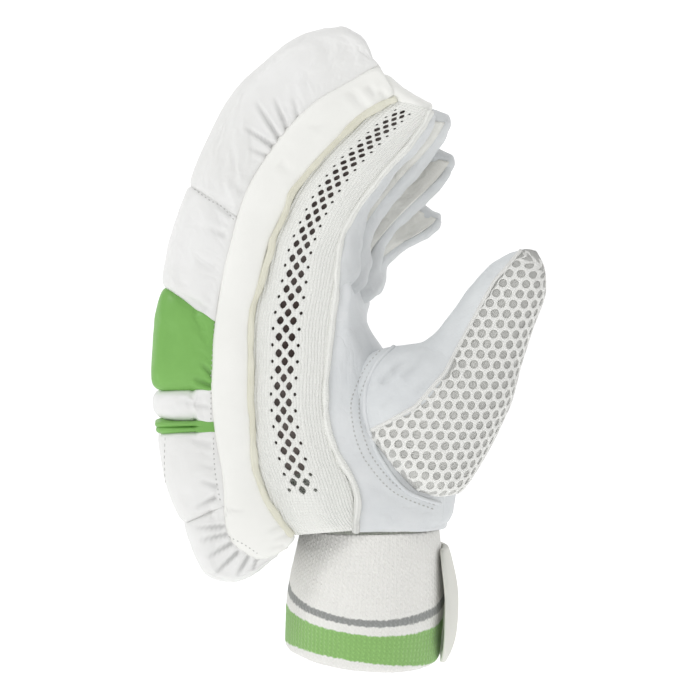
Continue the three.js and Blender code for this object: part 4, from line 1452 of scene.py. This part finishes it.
@dataclass
class Fourchette:
    """The knit strip between two fingers, down one and up the other."""

    near: Finger
    far: Finger
    thickness: float = 1.2
    fold_height: float = 3.6

    def place(self, u: float, v: float) -> Vector:
        """Works out a point of the strip's face.

        Args:
            u: Share of the way from one tip to the other.
            v: Share of the way from back to palm.

        Returns:
            The point in mm.
        """
        t = 2 * u - 1
        station = lerp(CROTCH - 0.25, TIP - 0.3, abs(t))
        ends = []
        for finger, side in ((self.near, 1), (self.far, -1)):
            y = finger.side(station, side)
            lines = (Line.SEAM, Line.WALL, Line.GUSSET)
            seam, wall, end = (SHAPE.at(finger, line, station, y) for line in lines)
            low = seam.lerp(wall, 0.2)
            ends.append(low.lerp(wall, v * 3) if v < 1 / 3 else wall.lerp(end, (v - 1 / 3) * 1.5))
        return ends[0].lerp(ends[1], smoothstep(t, -0.07, 0.07))

    def build(self) -> None:
        """Builds the strip."""
        mesh = grid_mesh(96, 16, self.place, flat_cloth(190, 40))
        seed = 3.1 * self.near.number
        push_along_normals(mesh, lambda p: self.fold_height * finger_folds(p, seed))
        name, node = f"{self.near.name}_finger_wall", f"fourchette_{self.near.name}"
        Panel(self.thickness, 0.0).make(mesh, name, Finish.WARM_CLOTH, "knit_white", node)


@dataclass
class SeamCord:
    """A cord along one line of a finger's side: the cream binding, or the rolls' welt."""

    finger: Finger
    side: int
    line: Line = Line.WALL
    radius: float = 1.15
    out: float = 0.3
    first: float = 0.8
    wobble: float = 0.0
    count: int = 120

    def build(self, name: str, finish: Finish, slot: str, *nodes: str) -> None:
        """Builds the cord.

        Args:
            name: The end of the piece's name.
            finish: Its finish.
            slot: Its record slot.
            *nodes: The CAD nodes that it stands for.
        """
        points = []
        for k in range(self.count + 1):
            station = lerp(self.first, TIP - 0.1, k / self.count)
            y = self.finger.side(station, self.side) + self.side * self.out
            spot = SHAPE.at(self.finger, self.line, station, y)
            spot.x += self.wobble * (ripple(spot, 26, 2.0) + 0.3 * ripple(spot, 9, 3.0))
            points.append(spot)
        mesh = tube_mesh(points, self.radius)
        push_along_normals(mesh, lambda p: 0.35 * self.radius * ripple(p, 6, 5.0))
        Panel().make(mesh, f"{self.finger.name}_{name}", finish, slot, *nodes)


# Palm

@dataclass
class Palm:
    """The palm leather and the leather fronts of the four fingers."""

    thickness: float = 1.5
    dip: float = 3.0
    fold_height: float = 2.2

    def build(self) -> None:
        """Builds all five leather panels."""
        self._palm()
        for finger in FINGERS:
            self._front(finger)
        LOG.info("palm and %d finger fronts", len(FINGERS))

    def _palm(self) -> None:
        """Builds the palm panel."""

        def place(u: float, v: float) -> Vector:
            """Returns the palm's outer face."""
            spot = SHAPE.palm_point(lerp(0.05, CROTCH + 0.05, u), 2 * v - 1)
            spot.x -= self.dip * smoothstep(u, 0.93, 1.0)
            return spot

        mesh = grid_mesh(90, 72, place, flat_cloth(170, 150))
        face_out(mesh, Vector((1, 0, 0)))
        leather = Panel(self.thickness, smooth=1)
        piece = leather.make(mesh, "palm_panel", Finish.PALM, "palm_leather", "palm_leather")
        wrinkle(piece, lambda p: 0.8 * ripple(p, 24, 1.0) + 0.35 * ripple(p, 8, 2.0), PALM_CREASES)

    def _front(self, finger: Finger) -> None:
        """Builds one finger's leather front, rounded and creased.

        Args:
            finger: The finger.
        """

        def place(u: float, v: float) -> Vector:
            """Returns the front's outer face: up the finger, and across it."""
            station = lerp(CROTCH - 0.9, TIP - 0.12, u)
            across = 2 * v - 1
            swell = lerp(0.2, 1.3, smoothstep(u, 0.0, 0.13)) - 0.15 * smoothstep(u, 0.13, 0.4)
            swell -= 0.4 * smoothstep(u, 0.9, 1.0)
            share = (1 - abs(across) ** 2.4) ** (1 / 1.9) * swell
            edge = SHAPE.point(finger, Line.GUSSET, station)
            top = SHAPE.point(finger, Line.FRONT, station)
            x, z = edge + (top - edge) * share
            half = finger.half(station) * lerp(0.88, 1.0, smoothstep(u, 0.0, 0.1))
            return Vector((x, finger.centre + across * half, z))

        mesh = grid_mesh(64, 20, place, flat_cloth(90, 30))
        face_out(mesh, Vector((1, 0, 0)))
        seed = 2.3 * finger.number + 1
        push_along_normals(mesh, lambda p: self.fold_height * finger_folds(p, seed))
        name, node = f"{finger.name}_palm_side", f"{finger.name}_front"
        # Finger leather: darker than the palm as painted shade.
        Panel(self.thickness, smooth=1).make(mesh, name, Finish.FRONT, "palm_leather", node)


PALM_CREASES = (
    Crease((-2.2, 187), (-1.8, 167), 1.2, 1.2),
    Crease((-1.8, 167), (6, 150), 1.2, 1.2),
    Crease((4, 152), (14, 136), 0.8, 1.4),
    Crease((-4.0, 140), (2.0, 124), 0.5, 1.6),
    Crease((2, 72), (30, 56), 0.4, 1.6),
)


# Thumb

@dataclass
class Thumb:
    """The thumb: leather on its upper side, spacer mesh round the rest."""

    length: float = 110.0
    width: float = 40.0
    thickness: float = 42.0
    base: Vector = field(default_factory=lambda: Vector((30.0, -37.0, 66.0)))
    angle: float = 57.0
    cell_width: float = 4.0
    cell_length: float = 4.9
    net_height: float = 0.7
    section_power: float = 2.35
    net_line: float = 0.36
    net_end: float = 0.985
    net_strand: float = 0.62
    lap: float = 0.05

    def __post_init__(self) -> None:
        """Works out the axis and the arc lengths round each section."""
        a = math.radians(self.angle)
        self.axis = Vector((math.cos(a), 0, math.sin(a)))
        self.left = Vector((-self.axis.z, 0, self.axis.x))
        self.outline = np.array(THUMB_OUTLINE)
        self.seam = np.array(THUMB_SEAM)

    def _row(self, along: float) -> tuple[float, float, float]:
        """Returns the left and right edge and the thickness, in mm, at a share of the length."""
        place = float(np.interp(along, self.outline[:, 0], range(len(self.outline))))
        _, left, right, thick = catmull(self.outline, place)
        return left * self.width, right * self.width, max(thick, 0.0) * self.thickness

    def surface(self, along: float, turn: float, growth: float = 0.0) -> Vector:
        """Returns a point on the thumb.

        Args:
            along: Share of the length.
            turn: Angle round the axis, 0 at the left edge and growing over the near side.
            growth: How far the point lies outside, in mm.

        Returns:
            The point in mm.
        """
        left, right, thick = self._row(along)
        centre = self.base + self.axis * along * self.length + self.left * (left + right) / 2
        half = (left - right) / 2 + growth
        power = 2 / self.section_power
        across = math.copysign(abs(math.cos(turn)) ** power, math.cos(turn))
        out = math.copysign(abs(math.sin(turn)) ** power, math.sin(turn))
        return centre + self.left * half * across + Vector((0, -(thick / 2 + growth) * out, 0))

    def seam_turn(self, along: float) -> float:
        """Returns the turn of the panel seam on the near side."""
        left, right, _ = self._row(along)
        seam = float(np.interp(along, self.seam[:, 0], self.seam[:, 1])) * self.width
        return self._turn_at(seam, left, right)

    def _turn_at(self, across: float, left: float, right: float) -> float:
        """Returns the near side's turn at a distance across, between the left and right edge in mm."""
        share = clamp((across - (left + right) / 2) / max((left - right) / 2, 0.1), -1, 1)
        return math.acos(math.copysign(abs(share) ** (self.section_power / 2), share))

    def build(self) -> None:
        """Builds the two panels, the net and the seam."""
        self._leather()
        self._ground()
        self._net()
        self._seam()
        LOG.info("thumb built")

    def _leather(self) -> None:
        """Builds the leather panel."""

        def place(u: float, v: float) -> Vector:
            """Returns the panel's outer face."""
            along = lerp(0.06, 0.998, u)
            reach = self.seam_turn(along) + self.lap
            return self.surface(along, lerp(reach, -reach, v), 0.3)

        mesh = grid_mesh(90, 44, place, flat_cloth(110, 60))
        face_out(mesh, self.left)
        leather = Panel(1.4, smooth=1)
        piece = leather.make(mesh, "thumb_upper", Finish.THUMB, "palm_leather", "thumb_leather")
        wrinkle(piece, lambda p: 0.8 * ripple(p, 20, 3.0) + 0.4 * ripple(p, 7, 8.0), THUMB_CREASES)

    def _ground(self) -> None:
        """Builds the closed layer under the net, coloured darker than the net as painted shade in the cells.
        """

        def place(u: float, v: float) -> Vector:
            """Returns the layer's outer face."""
            reach = self.seam_turn(u)
            return self.surface(u, lerp(reach, math.tau - reach, v), -0.1)

        mesh = grid_mesh(70, 48, place, flat_cloth(110, 110))
        face_out(mesh, -self.left)
        Panel(1.2).make(mesh, "thumb_mesh_ground", Finish.SHADED_SPACER_GROUND, "thumb_mesh", "thumb_mesh")

    def _arc(self, along: float) -> tuple[np.ndarray, np.ndarray]:
        """Works out turns round the mesh side and each one's arc length in mm from the net's own line.

        Args:
            along: Share of the thumb's length.

        Returns:
            The turns, and the arc lengths.
        """
        left, right, _ = self._row(along)
        reach = self.seam_turn(along)
        turns = np.linspace(reach, math.tau - reach, 80)
        spots = np.array([tuple(self.surface(along, t)) for t in turns])
        arc = arc_lengths(spots)
        middle = self._turn_at(self.net_line * self.width, left, right)
        return turns, arc - np.interp(middle, turns, arc)

    def _net(self) -> None:
        """Builds the raised hexagonal net of the spacer mesh."""
        last = 159
        arcs = [self._arc(share) for share in np.linspace(0.0, 1.0, last + 1)]
        mesh = bmesh.new()
        radius = self.cell_width / 1.5
        stretch = self.cell_length / math.sqrt(3) / radius
        rows = int(self.length / self.cell_length) + 1
        first_column = int(min(arc[0] for _, arc in arcs) / self.cell_width) - 1
        last_column = int(max(arc[-1] for _, arc in arcs) / self.cell_width) + 1
        for i in range(rows):
            for k in range(first_column, last_column):
                along = (i + 0.5 * (k % 2)) * self.cell_length
                across = k * self.cell_width
                arc = arcs[min(int(along / self.length * last), last)][1]
                if along > self.length * self.net_end or not arc[0] + 0.5 < across < arc[-1] - 0.5:
                    continue
                cell = bmesh.ops.create_circle(mesh, cap_ends=True, segments=6, radius=radius)
                for vert in cell["verts"]:
                    vert.co = Vector((along + vert.co.x * stretch, across + vert.co.y, 0))
        bmesh.ops.remove_doubles(mesh, verts=mesh.verts, dist=0.1)
        holes = list(mesh.faces)
        bmesh.ops.inset_individual(mesh, faces=holes, thickness=self.net_strand, use_even_offset=True)
        bmesh.ops.delete(mesh, geom=holes, context="FACES_ONLY")
        uv = mesh.loops.layers.uv.new("cloth")
        for face in mesh.faces:
            for loop in face.loops:
                loop[uv].uv = (loop.vert.co.x * MM, loop.vert.co.y * MM)
        for vert in mesh.verts:
            along = clamp(vert.co.x / self.length, 0.0, 0.999)
            turns, arc = arcs[min(round(along * last), last)]
            turn = float(np.interp(vert.co.y, arc, turns))
            vert.co = self.surface(along, turn, self.net_height)
        bmesh.ops.recalc_face_normals(mesh, faces=mesh.faces)
        face_out(mesh, Vector((0.3, -1, 0)))
        net = Panel(0.9, smooth=1)
        net.make(mesh, "thumb_mesh_net", Finish.SPACER, "thumb_mesh", "thumb_mesh")

    def _seam(self) -> None:
        """Builds the raised seam between leather and mesh on the near side."""
        points = []
        for k in range(61):
            along = lerp(0.1, 0.965, k / 60)
            points.append(self.surface(along, self.seam_turn(along), 0.1))
        mesh = tube_mesh(points, 0.9)
        Panel().make(mesh, "thumb_panel_seam", Finish.SPACER, "thumb_mesh", "thumb_mesh")


# Thumb outline along its own axis. Columns: share of the length, left and right edge as shares of the
# width, and share of the thickness.
THUMB_OUTLINE = (
    (0.0, 0.3, 0.2, 0.2),
    (0.02, 0.55, 0.02, 0.55),
    (0.08, 1.02, -0.15, 0.8),
    (0.2, 1.34, -0.17, 0.95),
    (0.32, 1.4, -0.15, 1),
    (0.4, 1.26, -0.12, 0.95),
    (0.48, 1, -0.08, 0.85),
    (0.6, 0.93, 0.03, 0.74),
    (0.75, 0.9, 0.14, 0.68),
    (0.88, 0.84, 0.22, 0.6),
    (0.95, 0.74, 0.34, 0.46),
    (0.985, 0.64, 0.45, 0.26),
    (1.0, 0.55, 0.53, 0.03),
)
# Seam of leather and mesh. Columns: share of the length, share of the width.
THUMB_SEAM = ((-0.1, 1.6), (0.1, 0.96), (0.26, 0.73), (0.43, 0.66), (0.6, 0.7), (0.81, 0.74), (1.1, 0.62))
THUMB_CREASES = (
    Crease((7.2, 114), (18, 126), 1.5, 1.5),
    Crease((12, 119), (22, 127), 0.9, 1.3),
    Crease((17, 116), (28.5, 128), 1.4, 1.6),
    Crease((22, 110), (32, 120), 0.8, 1.5),
    Crease((8, 104), (16, 112), 0.7, 1.6),
)


# Cuff

@dataclass
class Cuff:
    """The towelling cuff with its two stripes, its slit and the closing tab.

    The stripe slope holds how fast the stripes rise with X, and how much they widen with X and Y.
    """

    height: float = 53.0
    depth: float = 66.0
    span: float = 84.0
    top_depth: float = 59.0
    top_span: float = 90.4
    top_x: float = 3.6
    bulge: float = 2.2
    slit: float = 5.0
    tilt: float = 5.0
    thickness: float = 2.6
    stripe_slope: tuple[float, float, float] = (0.134, 0.0039, 0.0126)
    strap_width: float = 44.0
    strap_bulge: float = 3.6
    strap_thickness: float = 2.8

    def point(self, angle: float, share: float, growth: float) -> Vector:
        """Works out a point of the cuff.

        Args:
            angle: The angle from +X.
            share: Share of the height.
            growth: How far outside the face, in mm.

        Returns:
            The point in mm.
        """
        bulge = self.bulge * math.sin(math.pi * clamp(share))
        half_x = lerp(self.depth, self.top_depth, share) / 2 + bulge + growth
        half_y = lerp(self.span, self.top_span, share) / 2 + bulge + growth
        x = lerp(0, self.top_x, share) + half_x * math.cos(angle)
        y = half_y * math.sin(angle)
        slope = math.tan(math.radians(self.tilt)) * (y - x) * (1 - share)
        return Vector((x, y, share * self.height + slope))

    def build(self) -> None:
        """Builds the cuff and the tab."""
        self._towelling()
        self._tab()
        LOG.info("cuff built")

    def _towelling(self) -> None:
        """Builds the striped towelling."""
        gap = self.slit / self.span

        def place(u: float, v: float) -> Vector:
            """Returns the cuff's outer face: up it, and round from one side of the slit to the other."""
            angle = lerp(gap, math.tau - gap, v)
            edge = -1.2 * (1 - smoothstep(u, 0, 0.03))
            return self.point(angle, u, edge)

        around = math.pi * (self.depth + self.span) / 2

        def cloth(u: float, v: float) -> Vector:
            """Returns the flat place: height over the tilted lower edge of the green stripe, and round."""
            spot = place(u, v)
            slope, turn, dip = self.stripe_slope
            height = (spot.z + slope * spot.x) / (1 + turn * spot.x + dip * (spot.y + self.span / 2))
            return Vector((height, v * around, 0))

        mesh = grid_mesh(64, 200, place, cloth)
        mesh.normal_update()
        middle = Vector((0, 0, self.height / 2))
        outward = sum(f.normal.dot(f.calc_center_median() - middle) for f in mesh.faces)
        if outward < 0:
            bmesh.ops.reverse_faces(mesh, faces=mesh.faces)
        push_along_normals(mesh, lambda p: 0.55 * ripple(p, 16, 6.0) + 0.18 * ripple(p, 2.2, 1.0))
        nodes = [f"cuff_{name}" for name in ("hem", "stripe_green", "band", "stripe_grey", "top")]
        Panel(self.thickness).make(mesh, "cuff_towelling", Finish.CUFF, "towelling", *nodes)

    def _tab(self) -> None:
        """Builds the closing tab over the slit."""
        outline = np.array(STRAP_OUTLINE)

        def place(a: float, b: float, c: float) -> Vector:
            """Returns the tab's surface: up it, across it and outwards."""
            row = (a + 1) / 2 * (len(outline) - 1)
            share, width, bulge = catmull(outline, row)
            angle = self.strap_width / self.span * width * b
            lift = CLEARANCE + bulge * self.strap_bulge + (c + 1) / 2 * self.strap_thickness
            return self.point(angle, share, lift)

        mesh = pad_mesh(PadSpan(36, 30, 5, 14.0, 7.0), place)
        push_along_normals(mesh, lambda p: 0.3 * ripple(p, 15, 9.0))
        piece = finished(mesh, "wrist_tab")
        dress(piece, Finish.STRAP)
        smooth_over(piece, 1)
        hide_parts("wrist_strap")


# Columns: share of the cuff's height, half width share, and bulge share.
STRAP_OUTLINE = (
    (0.0, 0.5, 0.0),
    (0.1, 0.85, 0.6),
    (0.25, 1, 0.9),
    (0.5, 1, 0.8),
    (0.72, 0.95, 0.4),
    (0.86, 0.8, 0),
)


# Stitches

@dataclass(frozen=True)
class StitchRow:
    """A sewn line: points in XZ mm on the glove's middle plane, seen from the front of the thumb side."""

    points: tuple[tuple[float, float], ...]
    pitch: float = 2.0
    length: float = 1.2
    radius: float = 0.3


# The seam round the thumb's base and the two rows of stitches beside it, in XZ mm.
THUMB_BASE = (
    (14.6, 131.2), (6.8, 123.8), (2.1, 114), (1.3, 103.2), (3.8, 92.5), (7.7, 82.6), (18.5, 68.8),
    (33.5, 62.8),
)
OUTER_ROW = (
    (11, 132), (1.7, 121.7), (-4.3, 108.4), (-4.3, 98.9), (-1.8, 88.2), (3.4, 78.7), (14.2, 67.5),
    (31.4, 60.2),
)
INNER_ROW = ((13, 130), (4.5, 121.6), (-0.6, 110), (-1.2, 101), (1, 91), (5.4, 81.4), (16, 69.6), (32, 62))
# The sewn lines. Columns: points, pitch, stitch length, thread radius.
STITCH_ROWS = (
    StitchRow(OUTER_ROW),
    StitchRow(INNER_ROW),
    StitchRow(((-72.7, 198.5), (-65.4, 193.3), (-60.2, 190.5), (-54.7, 184.5)), 1.9, 1.0, 0.26),
    StitchRow(((-65, 111.5), (-65, 98.5)), 2.2, 1.0, 0.28),
    StitchRow(((-63.5, 141), (-65.2, 116)), 2.2, 1.0, 0.22),
    StitchRow(((-64, 92), (-63.3, 77), (-61, 64)), 2.2, 1.0, 0.26),
    StitchRow(((-84.6, 92), (-85, 80), (-84, 68), (-81.5, 57)), 2.6, 1.6, 0.26),
    StitchRow(((-58, 49), (-51, 45.5), (-45, 41.5)), 2.0, 1.0, 0.22),
)


@dataclass
class Stitching:
    """Stitches and cords laid on the nearest surface along the line of sight from the thumb side."""

    surfaces: Sequence[str]

    def __post_init__(self) -> None:
        """Prepares the surfaces and the eye point, in metres."""
        depsgraph = bpy.context.evaluated_depsgraph_get()
        self.trees = [BVHTree.FromObject(bpy.data.objects[name], depsgraph) for name in self.surfaces]
        self.eye = Vector((Studio.camera_x, -Studio.distance, Studio.camera_z)) * MM

    def laid(self, x: float, z: float) -> Vector | None:
        """Finds the nearest surface seen at x and z.

        Args:
            x: X in mm.
            z: Z in mm.

        Returns:
            The point in mm, or None where nothing is seen.
        """
        ray = (Vector((x, 0, z)) * MM - self.eye).normalized()
        hits = [hit for hit in (tree.ray_cast(self.eye, ray) for tree in self.trees) if hit[0]]
        if not hits:
            return None
        return min(hits, key=lambda hit: hit[3])[0] / MM

    def sew(self, rows: Sequence[StitchRow]) -> None:
        """Builds every stitch of the rows as one joined piece.

        Args:
            rows: The sewn lines.
        """
        mesh = bmesh.new()
        for row in rows:
            line = np.array(row.points)
            fine = np.array([catmull(line, t) for t in np.linspace(0, len(line) - 1, 60 * len(line))])
            arc = arc_lengths(fine)
            for middle in np.arange(row.pitch / 2, arc[-1], row.pitch):
                reach = np.array((middle - row.length / 2, middle + row.length / 2))
                xs, zs = (np.interp(reach, arc, fine[:, k]) for k in (0, 1))
                ends = [self.laid(x, z) for x, z in zip(xs, zs)]
                if None in ends or (ends[1] - ends[0]).length > 3 * row.length:
                    continue
                self._stitch(mesh, ends, row.radius)
        piece = Panel().make(mesh, "stitches", Finish.THREAD, "binding_cream")
        LOG.info("stitches with %d faces", len(piece.data.polygons))

    @staticmethod
    def _stitch(mesh: bmesh.types.BMesh, ends: Sequence[Vector], radius: float) -> None:
        """Adds one stitch.

        Args:
            mesh: The mesh to add it to.
            ends: Its two ends in mm.
            radius: The thread's radius in mm.
        """
        along = ends[1] - ends[0]
        turn = along.to_track_quat("X", "Z").to_matrix().to_4x4()
        turn.translation = (ends[0] + ends[1]) / 2
        made = bmesh.ops.create_uvsphere(mesh, u_segments=6, v_segments=4, radius=1)
        for vert in made["verts"]:
            spot = vert.co
            vert.co = turn @ Vector((spot.x * along.length / 2, spot.y * radius, spot.z * radius))

    def cord(self, points: Sequence[tuple[float, float]], radius: float, name: str) -> None:
        """Builds a leather seam along a line.

        Args:
            points: The line in XZ mm.
            radius: The seam's radius in mm.
            name: The piece's name.
        """
        line = np.array(points)
        laid = [self.laid(*catmull(line, t)) for t in np.linspace(0, len(line) - 1, 10 * len(line))]
        mesh = tube_mesh([p for p in laid if p is not None], radius)
        Panel().make(mesh, name, Finish.PALM, "palm_leather")


# Light, floor and camera

# Columns: name, place, width and power of a lamp, in metres and watts.
LAMPS = (
    ("key", (-0.7, -0.7, 0.9), 0.45, 3.6),
    ("fill", (0.9, -0.8, 0.3), 1.2, 0.5),
    ("top", (0.0, 0.1, 1.3), 0.8, 1.2),
)


@dataclass
class Studio:
    """A pale sweep, soft lights and the camera at the photograph's place."""

    distance: float = 1000.0
    camera_x: float = -5.2
    camera_z: float = 129.0
    scale: float = 0.43
    frame_pixels: float = 700.0
    sensor: float = 36.0

    def build(self) -> None:
        """Builds all of the studio."""
        bpy.context.scene.view_settings.view_transform = "Standard"
        self._camera()
        self._sweep()
        self._lights()

    def _camera(self) -> None:
        """Places the camera so that a pixel is `scale` mm at the glove's middle plane."""
        data = bpy.data.cameras.new("camera")
        data.lens = self.sensor * self.distance / (self.frame_pixels * self.scale)
        data.sensor_width = self.sensor
        camera = bpy.data.objects.new("camera", data)
        camera.location = (self.camera_x * MM, -self.distance * MM, self.camera_z * MM)
        camera.rotation_euler = (math.radians(90), 0, 0)
        bpy.context.scene.collection.objects.link(camera)
        bpy.context.scene.camera = camera

    def _sweep(self) -> None:
        """Builds the floor, which rises behind the glove in one curve."""
        floor_z, reach, radius = -60.0, 2600.0, 500.0
        wall_y = 1.2 * reach - radius

        def place(u: float, v: float) -> Vector:
            """Returns the sweep's surface from the front of the floor up the wall."""
            y = lerp(-3.0 * reach, 2.2 * reach, u)
            bend = y - wall_y
            z = floor_z
            if bend > 0:
                turn = min(bend / radius, math.pi / 2)
                extra = max(bend - radius * math.pi / 2, 0)
                y = wall_y + radius * math.sin(turn)
                z = floor_z + radius * (1 - math.cos(turn)) + extra * 2
            return Vector((lerp(-2.5 * reach, 2.5 * reach, v), y, z))

        mesh = grid_mesh(160, 4, place, flat_cloth(1, 1))
        face_out(mesh, Vector((0, 0, 1)))
        piece = finished(mesh, "floor_sweep")
        material, g, shader = new_material("pale floor")
        g.wire(shader, {"Base Color": (0.93, 0.93, 0.93, 1), "Roughness": 0.9})
        g.wire(shader, {"Specular IOR Level": 0.1, "Emission Color": (1, 1, 1, 1), "Emission Strength": 0.4})
        piece.data.materials.append(material)

    def _lights(self) -> None:
        """Adds an even world and large soft lamps."""
        world = bpy.data.worlds.new("studio")
        world.use_nodes = True
        back = world.node_tree.nodes["Background"]
        Graph(world.node_tree).wire(back, {"Color": (1, 1, 1, 1), "Strength": 0.6})
        bpy.context.scene.world = world
        for lamp in LAMPS:
            self._lamp(*lamp)

    @staticmethod
    def _lamp(name: str, place: tuple[float, float, float], size: float, power: float) -> None:
        """Adds a square area lamp that looks at the glove's middle.

        Args:
            name: The lamp's name.
            place: Where it hangs, in metres.
            size: Its width in metres.
            power: Its power in watts.
        """
        data = bpy.data.lights.new(name, "AREA")
        data.energy = power
        data.size = size
        lamp = bpy.data.objects.new(name, data)
        lamp.location = place
        aim = Vector((0, 0, 0.13)) - Vector(place)
        lamp.rotation_euler = aim.to_track_quat("-Z", "Y").to_euler()
        bpy.context.scene.collection.objects.link(lamp)


def main() -> None:
    """Builds the studio and every sub-assembly in order."""
    logging.basicConfig(level=logging.INFO, format="%(message)s")
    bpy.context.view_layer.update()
    GROUPS["leather"] = leather_grain()
    GROUPS["knit"] = knit_stitches()
    Studio().build()
    RollBack().build()
    BackShell().build()
    KnitWall(INDEX, -1, True).lining()
    for finger, side, pierced in ((INDEX, -1, True), (LITTLE, 1, False)):
        KnitWall(finger, side, pierced).build()
        cord = SeamCord(finger, side, radius=1.3, wobble=2.0)
        cord.build("seam_cord", Finish.BINDING, "binding_cream", f"{finger.name}_binding")
        lip = SeamCord(finger, side, radius=0.9, out=0.8, wobble=4.5)
        lip.build("lip_cord", Finish.BINDING, "binding_cream")
        fold = SeamCord(finger, side, Line.GUSSET, 1.5, -1.2, 0.5, 1.8)
        fold.build("knit_fold", Finish.KNIT, "knit_white")
    for near, far in zip(FINGERS, FINGERS[1:]):
        Fourchette(near, far).build()
    Palm().build()
    Thumb().build()
    Cuff().build()
    touched = [f"index_{name}_pad" for name in ("hem", "wrist", "knuckle", "accent", "mid", "tip")]
    stitching = Stitching([*touched, "index_band_near", "palm_panel", "thumb_upper", "thumb_mesh_ground"])
    stitching.sew(STITCH_ROWS)
    stitching.cord(THUMB_BASE, 1.0, "thumb_base_seam")


if __name__ == "__main__":
    main()
